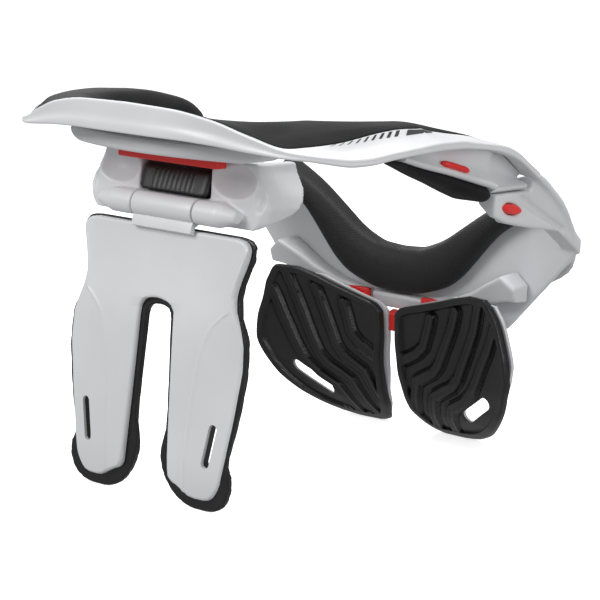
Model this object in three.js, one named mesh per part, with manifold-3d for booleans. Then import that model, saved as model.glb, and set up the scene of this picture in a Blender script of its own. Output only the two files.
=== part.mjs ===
// A two-piece moulded neck brace for riding, with a folding back fin and two chest pads.
// Millimetres. +X is the wearer's right, +Y is the wearer's front, +Z is up.
// It stands on the two tips of the back fin and the lower edges of the two chest pads.
import * as THREE from "three";
import { mergeVertices } from "three/addons/utils/BufferGeometryUtils.js";
import Module from "manifold-3d";

const wasm = await Module();
wasm.setup();

// Driving sizes
const GAP = 0.4; // between pieces that touch on the real object
const TABLE_HALF = 136; // half width of the helmet table over its rim
const TABLE_BACK = -41; // rear edge of the table
const TABLE_SIDE = 80; // where the rounded rear runs into the straight sides
const TABLE_FRONT = 178; // front ends of the side wings
const TABLE_SQUARE = 2.6; // power of the rounded rear outline, 2 being an ellipse
const HOLE_HALF = 82; // half width of the neck opening between the wings
const HOLE_FLARE = 27; // how far the opening widens again at the front ends of the wings
const FLARE_FROM = 1.3; // where that begins, on the scale of the table rows
const HOLE_BACK = -1; // rear edge of the neck opening
const LIP_TOP = 230; // height of the rear lip
const FALL = 45; // drop from the rear lip to the front ends of the wings
const SHELL = 4; // wall of the moulded table
const SEAT = 1.6; // how far the pad is let into the table at its outer edge
const PAD_T = 7; // pad thickness at its crest
const PAD_END = 1.7; // place along the table where the pad stops, on the scale of the table rows

const HINGE_Z = 168.6; // fin hinge axis, which is the X axis raised by this
const PIN_R = 2.4;
const BARREL_R = 7.3;
const BARREL_HALF = 22.2;
const KNUCKLE_END = 39.5;
const FIN_T = 4; // fin plate
const RUBBER_T = 3.4; // rubber backing of the fin
const FIN_LENGTH = HINGE_Z + 1; // hinge axis to the ends of the tips, which the floor cuts flat
const FIN_HALF = 66; // widest half width of the fin
const FIN_LEAN = 0.05; // set back of the fin for each unit of drop

const PLATE_HALF = 72;
const PLATE_R = 140; // radius of the rear edge of the slide plate
const PLATE_BACK = -25;
const PLATE_LOW = 199;
const PLATE_T = 8.6;
const BAR_HALF = 37;
const BAR_T = 4.6;
const BAR_SLIDE = 5; // travel of the lock bar to the right
const YOKE_HALF = 70;
const YOKE_BACK = 5;
const YOKE_DEPTH = 38;
const YOKE_LOW = 160.5;
const POCKET_HALF = BAR_HALF + BAR_SLIDE + 2;

const CHEEK_IN = TABLE_HALF - 18;
const CHEEK_T = 12.5;
const CHEEK_BACK = 139;
const CHEEK_TOP = 181;
const RIM_T = 5;
const BIB_BACK = 238; // face of the bib that looks at the wearer
const BIB_T = 4.5;
const BIB_HALF = TABLE_HALF - 8;
const BIB_TOP = 172;
const NECK_LOW = 121; // lowest point of the neckline
const FRONT_REACH = 286; // foremost edge of the front table
const COLLAR_T = 11; // thickness of the neckline pad at the centre

const PIVOT_X = -(TABLE_HALF - 3.4); // upright axis on which the front half swings
const PIVOT_Y = 143.2;
const PIVOT_R = 1.8;

const CHEST_OUT = 100; // half span over the chest pads
const CHEST_TALL = 105;
const CHEST_BOW = 15; // how far the pads bow towards the wearer at their middle
const CHEST_WRAP = 8; // and at their outer edges
const ARM_Z = 105; // height that the chest arms reach up by
const CHEST_Y = 262.7; // where the pad face meets the floor on the centre plane
const CHEST_LEAN = 0.454;
const CHEST_SPLAY = 0.051;
const CHEST_T = 6;
const CHEST_FLAT = 1.2; // how much the floor takes off the lower edge of a pad
const BACKING_T = 3;

// Small tools

const V = (x, y, z) => new THREE.Vector3(x, y, z);

// Reads a table of rows that share named columns: values between rows follow a smooth monotone curve.
function reader(rows, key) {
  const at = rows.map((row) => row[key]);
  return (place, column) => {
    const y = rows.map((row) => row[column]);
    const n = at.length;
    let i = 0;
    while (i < n - 2 && place > at[i + 1]) i += 1;
    const h = at[i + 1] - at[i];
    const slope = (k) => (y[k + 1] - y[k]) / (at[k + 1] - at[k]);
    const tangent = (k) => {
      if (k === 0) return slope(0);
      if (k === n - 1) return slope(n - 2);
      const a = slope(k - 1);
      const b = slope(k);
      return a * b <= 0 ? 0 : (2 * a * b) / (a + b);
    };
    const t = THREE.MathUtils.clamp((place - at[i]) / h, 0, 1);
    const t2 = t * t;
    const t3 = t2 * t;
    return (
      y[i] * (2 * t3 - 3 * t2 + 1) +
      tangent(i) * h * (t3 - 2 * t2 + t) +
      y[i + 1] * (3 * t2 - 2 * t3) +
      tangent(i + 1) * h * (t3 - t2)
    );
  };
}

function asSolid(geometry) {
  const g = geometry.index ? geometry.toNonIndexed() : geometry.clone();
  g.deleteAttribute("normal");
  g.deleteAttribute("uv");
  const merged = mergeVertices(g, 1e-4);
  let made = new wasm.Manifold(
    new wasm.Mesh({
      numProp: 3,
      vertProperties: merged.attributes.position.array,
      triVerts: new Uint32Array(merged.index.array),
    }),
  );
  if (made.volume() < 0) {
    const tri = new Uint32Array(merged.index.array);
    for (let i = 0; i < tri.length; i += 3) [tri[i + 1], tri[i + 2]] = [tri[i + 2], tri[i + 1]];
    made = new wasm.Manifold(
      new wasm.Mesh({ numProp: 3, vertProperties: merged.attributes.position.array, triVerts: tri }),
    );
  }
  return made;
}

// A body through closed polygons that all have the same number of corners.
function loft(rings) {
  const m = rings[0].length;
  const position = rings.flat().flatMap((p) => [p.x, p.y, p.z]);
  const index = [];
  for (let r = 0; r < rings.length - 1; r += 1) {
    for (let k = 0; k < m; k += 1) {
      const a = r * m + k;
      const b = r * m + ((k + 1) % m);
      index.push(a, b, a + m, b, b + m, a + m);
    }
  }
  const cap = (ring, base, flip) => {
    const normal = V(0, 0, 0);
    ring.forEach((p, k) => normal.add(V(0, 0, 0).crossVectors(p, ring[(k + 1) % m])));
    normal.normalize();
    const u = V(0, 0, 0).subVectors(ring[1], ring[0]).normalize();
    const v = V(0, 0, 0).crossVectors(normal, u);
    const flat = ring.map((p) => new THREE.Vector2(p.dot(u), p.dot(v)));
    THREE.ShapeUtils.triangulateShape(flat, []).forEach(([a, b, c]) => {
      if (flip) index.push(base + a, base + c, base + b);
      else index.push(base + a, base + b, base + c);
    });
  };
  cap(rings[0], 0, true);
  cap(rings[rings.length - 1], (rings.length - 1) * m, false);
  const g = new THREE.BufferGeometry();
  g.setAttribute("position", new THREE.Float32BufferAttribute(position, 3));
  g.setIndex(index);
  return asSolid(g);
}

// A flat outline pushed along Z, then laid so its own x, y, z run along the three given directions.
function slab(points, depth, origin, xAxis, yAxis, holes = []) {
  const shape = new THREE.Shape(points.map(([x, y]) => new THREE.Vector2(x, y)));
  holes.forEach((hole) => shape.holes.push(new THREE.Path(hole.map(([x, y]) => new THREE.Vector2(x, y)))));
  const g = new THREE.ExtrudeGeometry(shape, { depth, bevelEnabled: false, curveSegments: 8 });
  const z = V(0, 0, 0).crossVectors(xAxis, yAxis);
  g.applyMatrix4(new THREE.Matrix4().makeBasis(xAxis, yAxis, z).setPosition(origin));
  return asSolid(g);
}

// A flat outline in X and Z, with its back at the height y along Y.
const frontal = (points, y, depth, holes) =>
  slab(points, depth, V(0, y + depth, 0), V(1, 0, 0), V(0, 0, 1), holes);
// A flat outline in Y and Z, running from x to x + width.
const sideways = (points, x, width) => slab(points, width, V(x, 0, 0), V(0, 1, 0), V(0, 0, 1));
// A flat outline in X and Y, rising from z.
const level = (points, z, height) => slab(points, height, V(0, 0, z), V(1, 0, 0), V(0, 1, 0));

function rod(r, from, to, steps = 24, r2 = r) {
  const g = new THREE.CylinderGeometry(r2, r, from.distanceTo(to), steps);
  const turn = new THREE.Quaternion().setFromUnitVectors(
    V(0, 1, 0),
    V(0, 0, 0).subVectors(to, from).normalize(),
  );
  g.applyQuaternion(turn);
  g.translate((from.x + to.x) / 2, (from.y + to.y) / 2, (from.z + to.z) / 2);
  return asSolid(g);
}

// A closed outline through corner points, smoothed.
function smooth(points, steps) {
  const curve = new THREE.CatmullRomCurve3(
    points.map(([x, y]) => V(x, y, 0)),
    true,
    "centripetal",
  );
  return curve
    .getSpacedPoints(steps)
    .slice(0, -1)
    .map((p) => [p.x, p.y]);
}

const mirrored = (solid) => solid.mirror([1, 0, 0]);
const join = (...solids) => solids.reduce((a, b) => a.add(b));

const root = new THREE.Group();
root.name = "neck_brace";
root.position.y = -(TABLE_BACK + FRONT_REACH) / 2; // the origin lies on the floor under the middle

const finishes = {
  shell: { color: 0xd9dbde, roughness: 0.42, metalness: 0 },
  foam: { color: 0x141416, roughness: 0.85, metalness: 0 },
  rubber: { color: 0x101012, roughness: 0.7, metalness: 0 },
  lock: { color: 0xd8201c, roughness: 0.4, metalness: 0 },
  pin: { color: 0x9a9ca0, roughness: 0.35, metalness: 1 },
};

function place(name, solid, finish) {
  const mesh = solid.getMesh();
  const stride = mesh.numProp;
  const position = new Float32Array(mesh.triVerts.length * 3);
  mesh.triVerts.forEach((v, i) => {
    for (let k = 0; k < 3; k += 1) position[i * 3 + k] = mesh.vertProperties[v * stride + k];
  });
  const g = new THREE.BufferGeometry();
  g.setAttribute("position", new THREE.BufferAttribute(position, 3));
  g.computeVertexNormals();
  const m = new THREE.Mesh(g, new THREE.MeshStandardMaterial(finishes[finish]));
  m.name = name;
  root.add(m);
}

function pair(name, solid, finish) {
  place(`${name}_right`, solid, finish);
  place(`${name}_left`, mirrored(solid), finish);
}

// Helmet table: rear wall and side wings

// turn: 0 at the rear centre, 1 where the sides begin, 2 at the front end of a wing.
// lip and low: drop of the rim's upper and lower edge below the rear lip, as shares of FALL.
// bank and crest: places across the ring from rim to opening, as shares of its width.
// bankDrop, crestDrop, holeDrop: drops at those places and at the opening, as shares of FALL.
const tableRows = [
  { turn: 0.0, lip: 0.0, low: 0.39, bank: 0.05, bankDrop: 0.0, crest: 0.55, crestDrop: 0.1, holeDrop: 0.38 },
  { turn: 0.1, lip: 0.02, low: 0.39, bank: 0.05, bankDrop: 0.02, crest: 0.55, crestDrop: 0.12, holeDrop: 0.38 },
  { turn: 0.21, lip: 0.105, low: 0.41, bank: 0.05, bankDrop: 0.095, crest: 0.55, crestDrop: 0.145, holeDrop: 0.39 },
  { turn: 0.33, lip: 0.265, low: 0.46, bank: 0.055, bankDrop: 0.25, crest: 0.57, crestDrop: 0.14, holeDrop: 0.4 },
  { turn: 0.45, lip: 0.4, low: 0.505, bank: 0.08, bankDrop: 0.375, crest: 0.6, crestDrop: 0.12, holeDrop: 0.43 },
  { turn: 0.52, lip: 0.425, low: 0.52, bank: 0.13, bankDrop: 0.355, crest: 0.64, crestDrop: 0.11, holeDrop: 0.45 },
  { turn: 0.59, lip: 0.445, low: 0.55, bank: 0.18, bankDrop: 0.315, crest: 0.68, crestDrop: 0.1, holeDrop: 0.47 },
  { turn: 0.66, lip: 0.46, low: 0.575, bank: 0.235, bankDrop: 0.265, crest: 0.7, crestDrop: 0.105, holeDrop: 0.48 },
  { turn: 0.72, lip: 0.445, low: 0.56, bank: 0.28, bankDrop: 0.22, crest: 0.72, crestDrop: 0.11, holeDrop: 0.49 },
  { turn: 0.82, lip: 0.38, low: 0.49, bank: 0.34, bankDrop: 0.17, crest: 0.73, crestDrop: 0.12, holeDrop: 0.49 },
  { turn: 0.91, lip: 0.335, low: 0.445, bank: 0.36, bankDrop: 0.16, crest: 0.74, crestDrop: 0.13, holeDrop: 0.49 },
  { turn: 1.0, lip: 0.3, low: 0.42, bank: 0.39, bankDrop: 0.19, crest: 0.74, crestDrop: 0.145, holeDrop: 0.49 },
  { turn: 1.1, lip: 0.3, low: 0.42, bank: 0.43, bankDrop: 0.23, crest: 0.75, crestDrop: 0.165, holeDrop: 0.5 },
  { turn: 1.3, lip: 0.345, low: 0.445, bank: 0.46, bankDrop: 0.29, crest: 0.75, crestDrop: 0.24, holeDrop: 0.54 },
  { turn: 1.52, lip: 0.4, low: 0.5, bank: 0.46, bankDrop: 0.345, crest: 0.75, crestDrop: 0.35, holeDrop: 0.6 },
  { turn: 1.64, lip: 0.445, low: 0.56, bank: 0.46, bankDrop: 0.405, crest: 0.75, crestDrop: 0.45, holeDrop: 0.66 },
  { turn: 1.76, lip: 0.54, low: 0.65, bank: 0.46, bankDrop: 0.46, crest: 0.75, crestDrop: 0.57, holeDrop: 0.72 },
  { turn: 1.88, lip: 0.68, low: 0.785, bank: 0.46, bankDrop: 0.62, crest: 0.75, crestDrop: 0.69, holeDrop: 0.8 },
  { turn: 2.0, lip: 0.82, low: 0.93, bank: 0.46, bankDrop: 0.8, crest: 0.75, crestDrop: 0.82, holeDrop: 0.9 },
];
const table = reader(tableRows, "turn");

// How far the opening has widened again at a turn near the front end of a wing.
const flareAt = (turn) => HOLE_FLARE * THREE.MathUtils.smoothstep(turn, FLARE_FROM, 2);

// A point of the table's plan outline: share 0 on the rim, 1 on the neck opening.
function onTable(turn, share, z) {
  const side = Math.sign(turn) || 1;
  const t = Math.abs(turn);
  const angle = Math.min(t, 1) * (Math.PI / 2);
  const e = 2 / TABLE_SQUARE;
  const half = THREE.MathUtils.lerp(TABLE_HALF, HOLE_HALF, share);
  const back = THREE.MathUtils.lerp(TABLE_BACK, HOLE_BACK, share);
  const x = half * Math.pow(Math.sin(angle), e);
  const y = TABLE_SIDE - (TABLE_SIDE - back) * Math.pow(Math.max(Math.cos(angle), 0), e);
  const ahead = Math.max(t - 1, 0) * (TABLE_FRONT - TABLE_SIDE);
  return V(side * (x + flareAt(t) * share), y + ahead, z);
}

const ringWidth = (turn) => onTable(turn, 0, 0).distanceTo(onTable(turn, 1, 0));

// Heights and places across the table at one turn, in millimetres and shares.
function tableSection(turn) {
  const t = Math.abs(turn);
  const w = ringWidth(turn);
  const drop = (column) => LIP_TOP - FALL * table(t, column);
  const padded = t <= PAD_END;
  return {
    w,
    lip: drop("lip"),
    low: drop("low"),
    bank: table(t, "bank"),
    bankZ: drop("bankDrop"),
    crest: table(t, "crest"),
    crestZ: drop("crestDrop"),
    holeZ: drop("holeDrop"),
    seat: padded ? SEAT : 0.2,
    pad: padded ? PAD_T : 0.4,
  };
}

function tableRing(turn) {
  const s = tableSection(turn);
  const mm = 1 / s.w;
  return [
    [0, s.low],
    [0, s.lip - 1],
    [1 * mm, s.lip],
    [s.bank * 0.5, s.lip + (s.bankZ - s.lip) * 0.3],
    [s.bank, s.bankZ],
    [s.bank + 0.5 * mm, s.bankZ - s.seat],
    [s.crest, s.crestZ - s.pad],
    [1 - 2 * mm, s.holeZ],
    [1 - 3 * mm, s.holeZ - 3],
    [s.crest + 1 * mm, s.crestZ - s.pad - SHELL],
    [s.bank + 3.5 * mm, s.bankZ - s.seat - SHELL],
    [4 * mm, s.low],
  ].map(([share, z]) => onTable(turn, share, z));
}

// Height of the underside of the table at a place across it.
function underside(turn, share) {
  const s = tableSection(turn);
  const corners = [
    [4 / s.w, s.low],
    [s.bank + 3.5 / s.w, s.bankZ - s.seat - SHELL],
    [s.crest + 1 / s.w, s.crestZ - s.pad - SHELL],
    [1 - 3 / s.w, s.holeZ - 3],
  ];
  let i = 0;
  while (i < corners.length - 2 && share > corners[i + 1][0]) i += 1;
  const [from, z0] = corners[i];
  const [to, z1] = corners[i + 1];
  return THREE.MathUtils.lerp(z0, z1, THREE.MathUtils.clamp((share - from) / (to - from), 0, 1));
}

const halfTurns = [
  0.06, 0.12, 0.19, 0.26, 0.33, 0.4, 0.46, 0.52, 0.58, 0.65, 0.72, 0.8, 0.9, 1.0, 1.1, 1.25, 1.4, 1.55,
];
const padTurns = [...halfTurns, 1.64, PAD_END - 0.005];
const shellTurns = [...halfTurns, 1.64, PAD_END, PAD_END + 0.002, 1.78, 1.86, 1.93, 2.0];
const bothSides = (turns) => [...turns.map((t) => -t).reverse(), 0, ...turns];

const rearTable = loft(bothSides(shellTurns).map(tableRing));
place("rear_table", rearTable, "shell");

function padRing(turn) {
  const s = tableSection(turn);
  const mm = 1 / s.w;
  const rise = s.crestZ - s.bankZ;
  return [
    [s.bank + 0.9 * mm, s.bankZ - s.seat + GAP],
    [s.bank + 1.2 * mm, s.bankZ - 0.3],
    [THREE.MathUtils.lerp(s.bank, s.crest, 0.3), s.bankZ + rise * 0.45],
    [THREE.MathUtils.lerp(s.bank, s.crest, 0.65), s.bankZ + rise * 0.85],
    [s.crest, s.crestZ],
    [THREE.MathUtils.lerp(s.crest, 1, 0.35), s.crestZ - 1.2],
    [THREE.MathUtils.lerp(s.crest, 1, 0.7), THREE.MathUtils.lerp(s.crestZ, s.holeZ + 4, 0.5)],
    [1 - 1 * mm, s.holeZ + 4],
    [1 - 2.2 * mm, s.holeZ + GAP + 0.2],
    [s.crest, s.crestZ - s.pad + GAP],
  ]
    .reverse()
    .map(([share, z]) => onTable(turn, share, z));
}
const rearPad = loft(bothSides(padTurns).map(padRing));
place("rear_pad", rearPad, "foam");

// Slide plate and lock bar under the rear of the table

function arcBand(radius, depth, half, back, steps) {
  const outer = [];
  const inner = [];
  for (let i = 0; i <= steps; i += 1) {
    const x = half * ((2 * i) / steps - 1);
    const y = back + radius - Math.sqrt(radius * radius - x * x);
    outer.push([x, y]);
    inner.unshift([x * 0.94, y + depth]);
  }
  return [...outer, ...inner];
}

const plateTop = PLATE_LOW + PLATE_T;
const slidePlate = join(
  level(arcBand(PLATE_R, 18, PLATE_HALF, PLATE_BACK, 18), PLATE_LOW, PLATE_T),
  level(arcBand(PLATE_R, 12, PLATE_HALF - 12, PLATE_BACK + 5, 18), plateTop - 0.5, 2.1),
);
place("slide_plate", slidePlate, "shell");

const barLow = PLATE_LOW - GAP - BAR_T;
const bar = sideways(
  [
    [0, barLow + 1],
    [1, barLow],
    [7, barLow],
    [7, barLow + BAR_T],
    [1, barLow + BAR_T],
    [0, barLow + BAR_T - 1],
  ],
  -BAR_HALF,
  2 * BAR_HALF,
);
place("lock_bar", bar, "lock");

// Rear yoke: the bowl that carries the plate above and the fin hinge below

// drop: down from the top of the yoke; half: half width as a share of YOKE_HALF.
const yokeRows = [
  { z: 198.6, half: 0.8 },
  { z: 193.5, half: 0.82 },
  { z: 188, half: 0.86 },
  { z: 181, half: 0.92 },
  { z: 174, half: 0.96 },
  { z: 166, half: 0.94 },
  { z: 162, half: 0.9 },
  { z: YOKE_LOW, half: 0.84 },
];
function yokeRing(row, inset) {
  const half = YOKE_HALF * row.half - inset;
  const back = YOKE_BACK + inset;
  const front = YOKE_BACK + YOKE_DEPTH;
  return [
    [-half * 0.93, back],
    [-half, back + 4],
    [-half * 1.04, back + 14],
    [-half * 1.06, front],
    [half * 1.06, front],
    [half * 1.04, back + 14],
    [half, back + 4],
    [half * 0.93, back],
  ].map(([x, y]) => V(x, y, row.z));
}
const yokeSide = sideways(
  [
    [YOKE_BACK - 2, YOKE_LOW - 1],
    [YOKE_BACK - 0.6, YOKE_LOW - 0.2],
    [YOKE_BACK + 4.8, YOKE_LOW + 4.4],
    [YOKE_BACK + 10, YOKE_LOW + 6.5],
    [YOKE_BACK + 22, YOKE_LOW + 10.5],
    [YOKE_BACK + 31, YOKE_LOW + 17],
    [YOKE_BACK + 35, YOKE_LOW + 24],
    [YOKE_BACK + 35, 198.6],
    [YOKE_BACK - 2, 198.6],
  ],
  -90,
  180,
);
const yokeInside = loft(
  [
    { z: 200, half: 0.8 },
    { z: 182, half: 0.9 },
    { z: 172, half: 0.92 },
  ].map((row) => yokeRing(row, 6)),
).translate([0, 8, 0]);
const hingeAt = (x) => V(x, 0, HINGE_Z);
const knuckle = (s) =>
  join(
    rod(BARREL_R, hingeAt(s * (BARREL_HALF + GAP)), hingeAt(s * KNUCKLE_END), 24),
    rod(BARREL_R, hingeAt(s * (KNUCKLE_END - 0.2)), hingeAt(s * (KNUCKLE_END + 12)), 24, 3.4),
    sideways(
      [
        [0, HINGE_Z - BARREL_R],
        [YOKE_BACK + 4, YOKE_LOW + 4.2],
        [YOKE_BACK + 4, HINGE_Z + 6],
        [0, HINGE_Z + BARREL_R],
      ],
      s > 0 ? BARREL_HALF + GAP : -KNUCKLE_END,
      KNUCKLE_END - BARREL_HALF - GAP,
    ),
  );
const stopRoom = sideways(
  [
    [YOKE_BACK - 8, HINGE_Z + BARREL_R - 0.4],
    [YOKE_BACK + 13.5, HINGE_Z + BARREL_R - 0.4],
    [YOKE_BACK + 13.5, 194],
    [YOKE_BACK - 8, 194],
  ],
  -26.2,
  52.4,
);
const yoke = loft(yokeRows.map((row) => yokeRing(row, 0)))
  .intersect(yokeSide)
  .subtract(yokeInside)
  .subtract(
    sideways(
      [
        [-8, barLow - GAP],
        [9, barLow - GAP],
        [9, 205],
        [-8, 205],
      ],
      -POCKET_HALF,
      2 * POCKET_HALF,
    ),
  )
  .subtract(stopRoom)
  .subtract(rod(BARREL_R + 2.4, hingeAt(-BARREL_HALF - GAP), hingeAt(BARREL_HALF + GAP), 28))
  .add(knuckle(1))
  .add(knuckle(-1))
  .subtract(rod(PIN_R + 0.3, hingeAt(-KNUCKLE_END + 2), hingeAt(KNUCKLE_END - 2), 20));
place("rear_yoke", yoke, "shell");
place("fin_hinge_pin", rod(PIN_R, hingeAt(-KNUCKLE_END + 2.4), hingeAt(KNUCKLE_END - 2.4), 20), "pin");

// Stop block above the hinge barrel: it keeps the fin from swinging back
const finStop = sideways(
  [
    [1.4, 177],
    [4, HINGE_Z + BARREL_R + 0.4],
    [17, HINGE_Z + BARREL_R + 0.4],
    [17, 193],
    [10, 193],
    [7.6, 191.4],
  ],
  -25,
  50,
);
place("fin_stop", finStop, "rubber");

// Back fin

// drop: down from the hinge axis as a share of FIN_LENGTH; out: outer half width; in: inner edge of the
// leg, both as shares of FIN_HALF.
const finRows = [
  { drop: 0.06, out: 0.5, in: 0 },
  { drop: 0.0635, out: 0.8, in: 0 },
  { drop: 0.1, out: 0.95, in: 0 },
  { drop: 0.18, out: 0.92, in: 0 },
  { drop: 0.25, out: 0.87, in: 0 },
  { drop: 0.33, out: 0.89, in: 0 },
  { drop: 0.335, out: 0.89, in: 0.14 },
  { drop: 0.42, out: 0.975, in: 0.15 },
  { drop: 0.49, out: 1.0, in: 0.16 },
  { drop: 0.6, out: 0.985, in: 0.17 },
  { drop: 0.72, out: 0.91, in: 0.18 },
  { drop: 0.83, out: 0.855, in: 0.14 },
  { drop: 0.885, out: 0.905, in: 0.16 },
  { drop: 0.93, out: 0.89, in: 0.21 },
  { drop: 0.965, out: 0.83, in: 0.29 },
  { drop: 0.99, out: 0.73, in: 0.4 },
  { drop: 1.0, out: 0.62, in: 0.52 },
];
const finBackY = (drop) => -5 - FIN_LEAN * drop * FIN_LENGTH; // rear face of the white plate

function finOutline(inset) {
  const right = finRows
    .filter((row) => row.in === 0 || row.drop > 0.34)
    .map((row) => [row.out * FIN_HALF - inset, -row.drop * FIN_LENGTH]);
  const leg = finRows
    .filter((row) => row.in > 0)
    .map((row) => [row.in * FIN_HALF + inset, -row.drop * FIN_LENGTH]);
  const foot = (p) => [p[0], Math.max(p[1], -FIN_LENGTH + inset * 1.2)];
  const down = right.map(foot);
  const up = leg.map(foot).reverse();
  up[up.length - 1] = [up[up.length - 1][0], -0.335 * FIN_LENGTH + inset];
  const half = [...down, ...up];
  return [...half, ...half.map(([x, z]) => [-x, z]).reverse()];
}

const finUp = V(0, FIN_LEAN, 1).normalize();
const slot = (x0, z0, x1, z1, r) => {
  const dx = x1 - x0;
  const dz = z1 - z0;
  const n = Math.hypot(dx, dz);
  const px = (-dz / n) * r;
  const pz = (dx / n) * r;
  const ex = (dx / n) * r * 0.7;
  const ez = (dz / n) * r * 0.7;
  return [
    [x0 + px, z0 + pz],
    [x0 - ex, z0 - ez],
    [x0 - px, z0 - pz],
    [x1 - px, z1 - pz],
    [x1 + ex, z1 + ez],
    [x1 + px, z1 + pz],
  ];
};
const finSlots = [1, -1].map((s) => slot(s * 47.5, -118, s * 44, -142, 2));
// The outline is drawn in a plane that leans with the fin: x across, y up from the hinge axis.
const finSlab = (points, near, depth, holes) =>
  slab(points, depth, V(0, near + depth, HINGE_Z), V(1, 0, 0), finUp, holes);

const plateFace = -5;
const ridge = (s) =>
  loft(
    [
      [58, -47, 3],
      [46, -62, 12],
      [39.5, -72, 12],
      [34.5, -106, 12],
      [30, -153, 6],
    ].map(([x, z, w]) => {
      const y = plateFace + FIN_LEAN * z;
      return [
        V(s * (x - w), y + 0.6, HINGE_Z + z),
        V(s * (x - w + 2), y - 1.1, HINGE_Z + z),
        V(s * (x - 0.6), y - 1.1, HINGE_Z + z),
        V(s * x, y + 0.6, HINGE_Z + z),
      ];
    }),
  );
const finPlate = join(
  finSlab(finOutline(2.6), plateFace, FIN_T, finSlots),
  rod(BARREL_R, hingeAt(-BARREL_HALF), hingeAt(BARREL_HALF), 28),
  sideways(
    [
      [-5.4, HINGE_Z - 14.5],
      [-2.2, HINGE_Z - 14],
      [-1.9, HINGE_Z - 9.4],
      [3, HINGE_Z - 5.5],
      [-6.9, HINGE_Z - 2],
    ],
    -BARREL_HALF,
    2 * BARREL_HALF,
  ),
  ridge(1),
  ridge(-1),
).subtract(rod(PIN_R + 0.3, hingeAt(-BARREL_HALF - 1), hingeAt(BARREL_HALF + 1), 20));
place("fin_plate", finPlate, "shell");

const wideSlots = [1, -1].map((s) => slot(s * 47.5, -118, s * 44, -142, 3));
const finRubber = finSlab(finOutline(0), plateFace + FIN_T + GAP, RUBBER_T, wideSlots).subtract(
  rod(BARREL_R + GAP, hingeAt(-BARREL_HALF - 1), hingeAt(BARREL_HALF + 1), 28),
).trimByPlane([0, 0, 1], 0);
place("fin_rubber", finRubber, "rubber");

// Side arms under the wings, with their pads

// along: place along Y; low: bottom of the arm; padLow: bottom of its pad; step: the raised ridge.
const armRows = [
  { y: 62, low: 203.5, padLow: 200, step: 205.5 },
  { y: 80, low: 199, padLow: 193.8, step: 201.3 },
  { y: 100, low: 194.5, padLow: 187.4, step: 196.8 },
  { y: 120, low: 189, padLow: 180.8, step: 191.4 },
  { y: 130, low: 186.4, padLow: 177.8, step: 188.8 },
  { y: 137, low: 184.6, padLow: 177, step: 187 },
];
const arm = reader(armRows, "y");
const armIn = CHEEK_IN - 5.2;
const armOut = armIn + 3.6;
const armFace = armOut + 4.1;
const turnOf = (y) => (y < TABLE_SIDE ? 1 : 1 + (y - TABLE_SIDE) / (TABLE_FRONT - TABLE_SIDE));
const shareOf = (x, turn) => (TABLE_HALF - x) / (TABLE_HALF - HOLE_HALF - flareAt(turn));
function armTop(y, x) {
  return underside(turnOf(y), shareOf(x, turnOf(y))) - 1;
}
// The arm flares out towards the side joint, and beyond it only a low wall goes on over the cheek.
const armEnd = CHEEK_BACK - 2.2;
const armFlare = (y) => 12.6 * THREE.MathUtils.smoothstep(y, 70, armEnd);
const armRing = (y) => {
  const joint = y > armEnd;
  const low = joint ? CHEEK_TOP + 0.8 : arm(y, "low");
  const face = joint ? armFace + 8 : armFace + armFlare(y);
  const step = joint ? low + 1.5 : Math.min(arm(y, "step"), armTop(y, face) - 2);
  return [
    V(armIn, y, low),
    V(face - 3, y, low),
    V(face - 1.2, y, low + 0.2),
    V(face, y, step),
    V(face, y, armTop(y, face)),
    V(armIn, y, Math.min(armTop(y, armIn), armTop(y, armOut)) - 0.6),
  ];
};
const armY = [62, 72, 82, 92, 102, 112, 122, 130, armEnd, armEnd + 0.4, 146, 154];
pair("side_arm", loft(armY.map(armRing)), "shell");

const armPadRing = (y) => {
  const low = arm(y, "padLow");
  const out = armIn + armFlare(y);
  const over = [0, 3, 6, 9, 11].map((d) => armTop(y, armIn - d));
  const top = Math.min(...over, arm(y, "low") + 13) - 1;
  return [
    V(armIn - GAP, y, arm(y, "low") - GAP),
    V(out + 3.6, y, arm(y, "low") - GAP),
    V(out + 4.4, y, low + 2.4),
    V(out + 1, y, low),
    V(armIn - 8, y, low),
    V(armIn - 11, y, low + 4),
    V(armIn - 10, y, top - 3),
    V(armIn - 7, y, top),
    V(armIn - GAP, y, top),
  ];
};
pair("side_pad", loft([54, 62, 72, 82, 92, 102, 112, 122, 130, armEnd].map(armPadRing)), "foam");

// Front half: side cheeks, bib and front table

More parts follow.
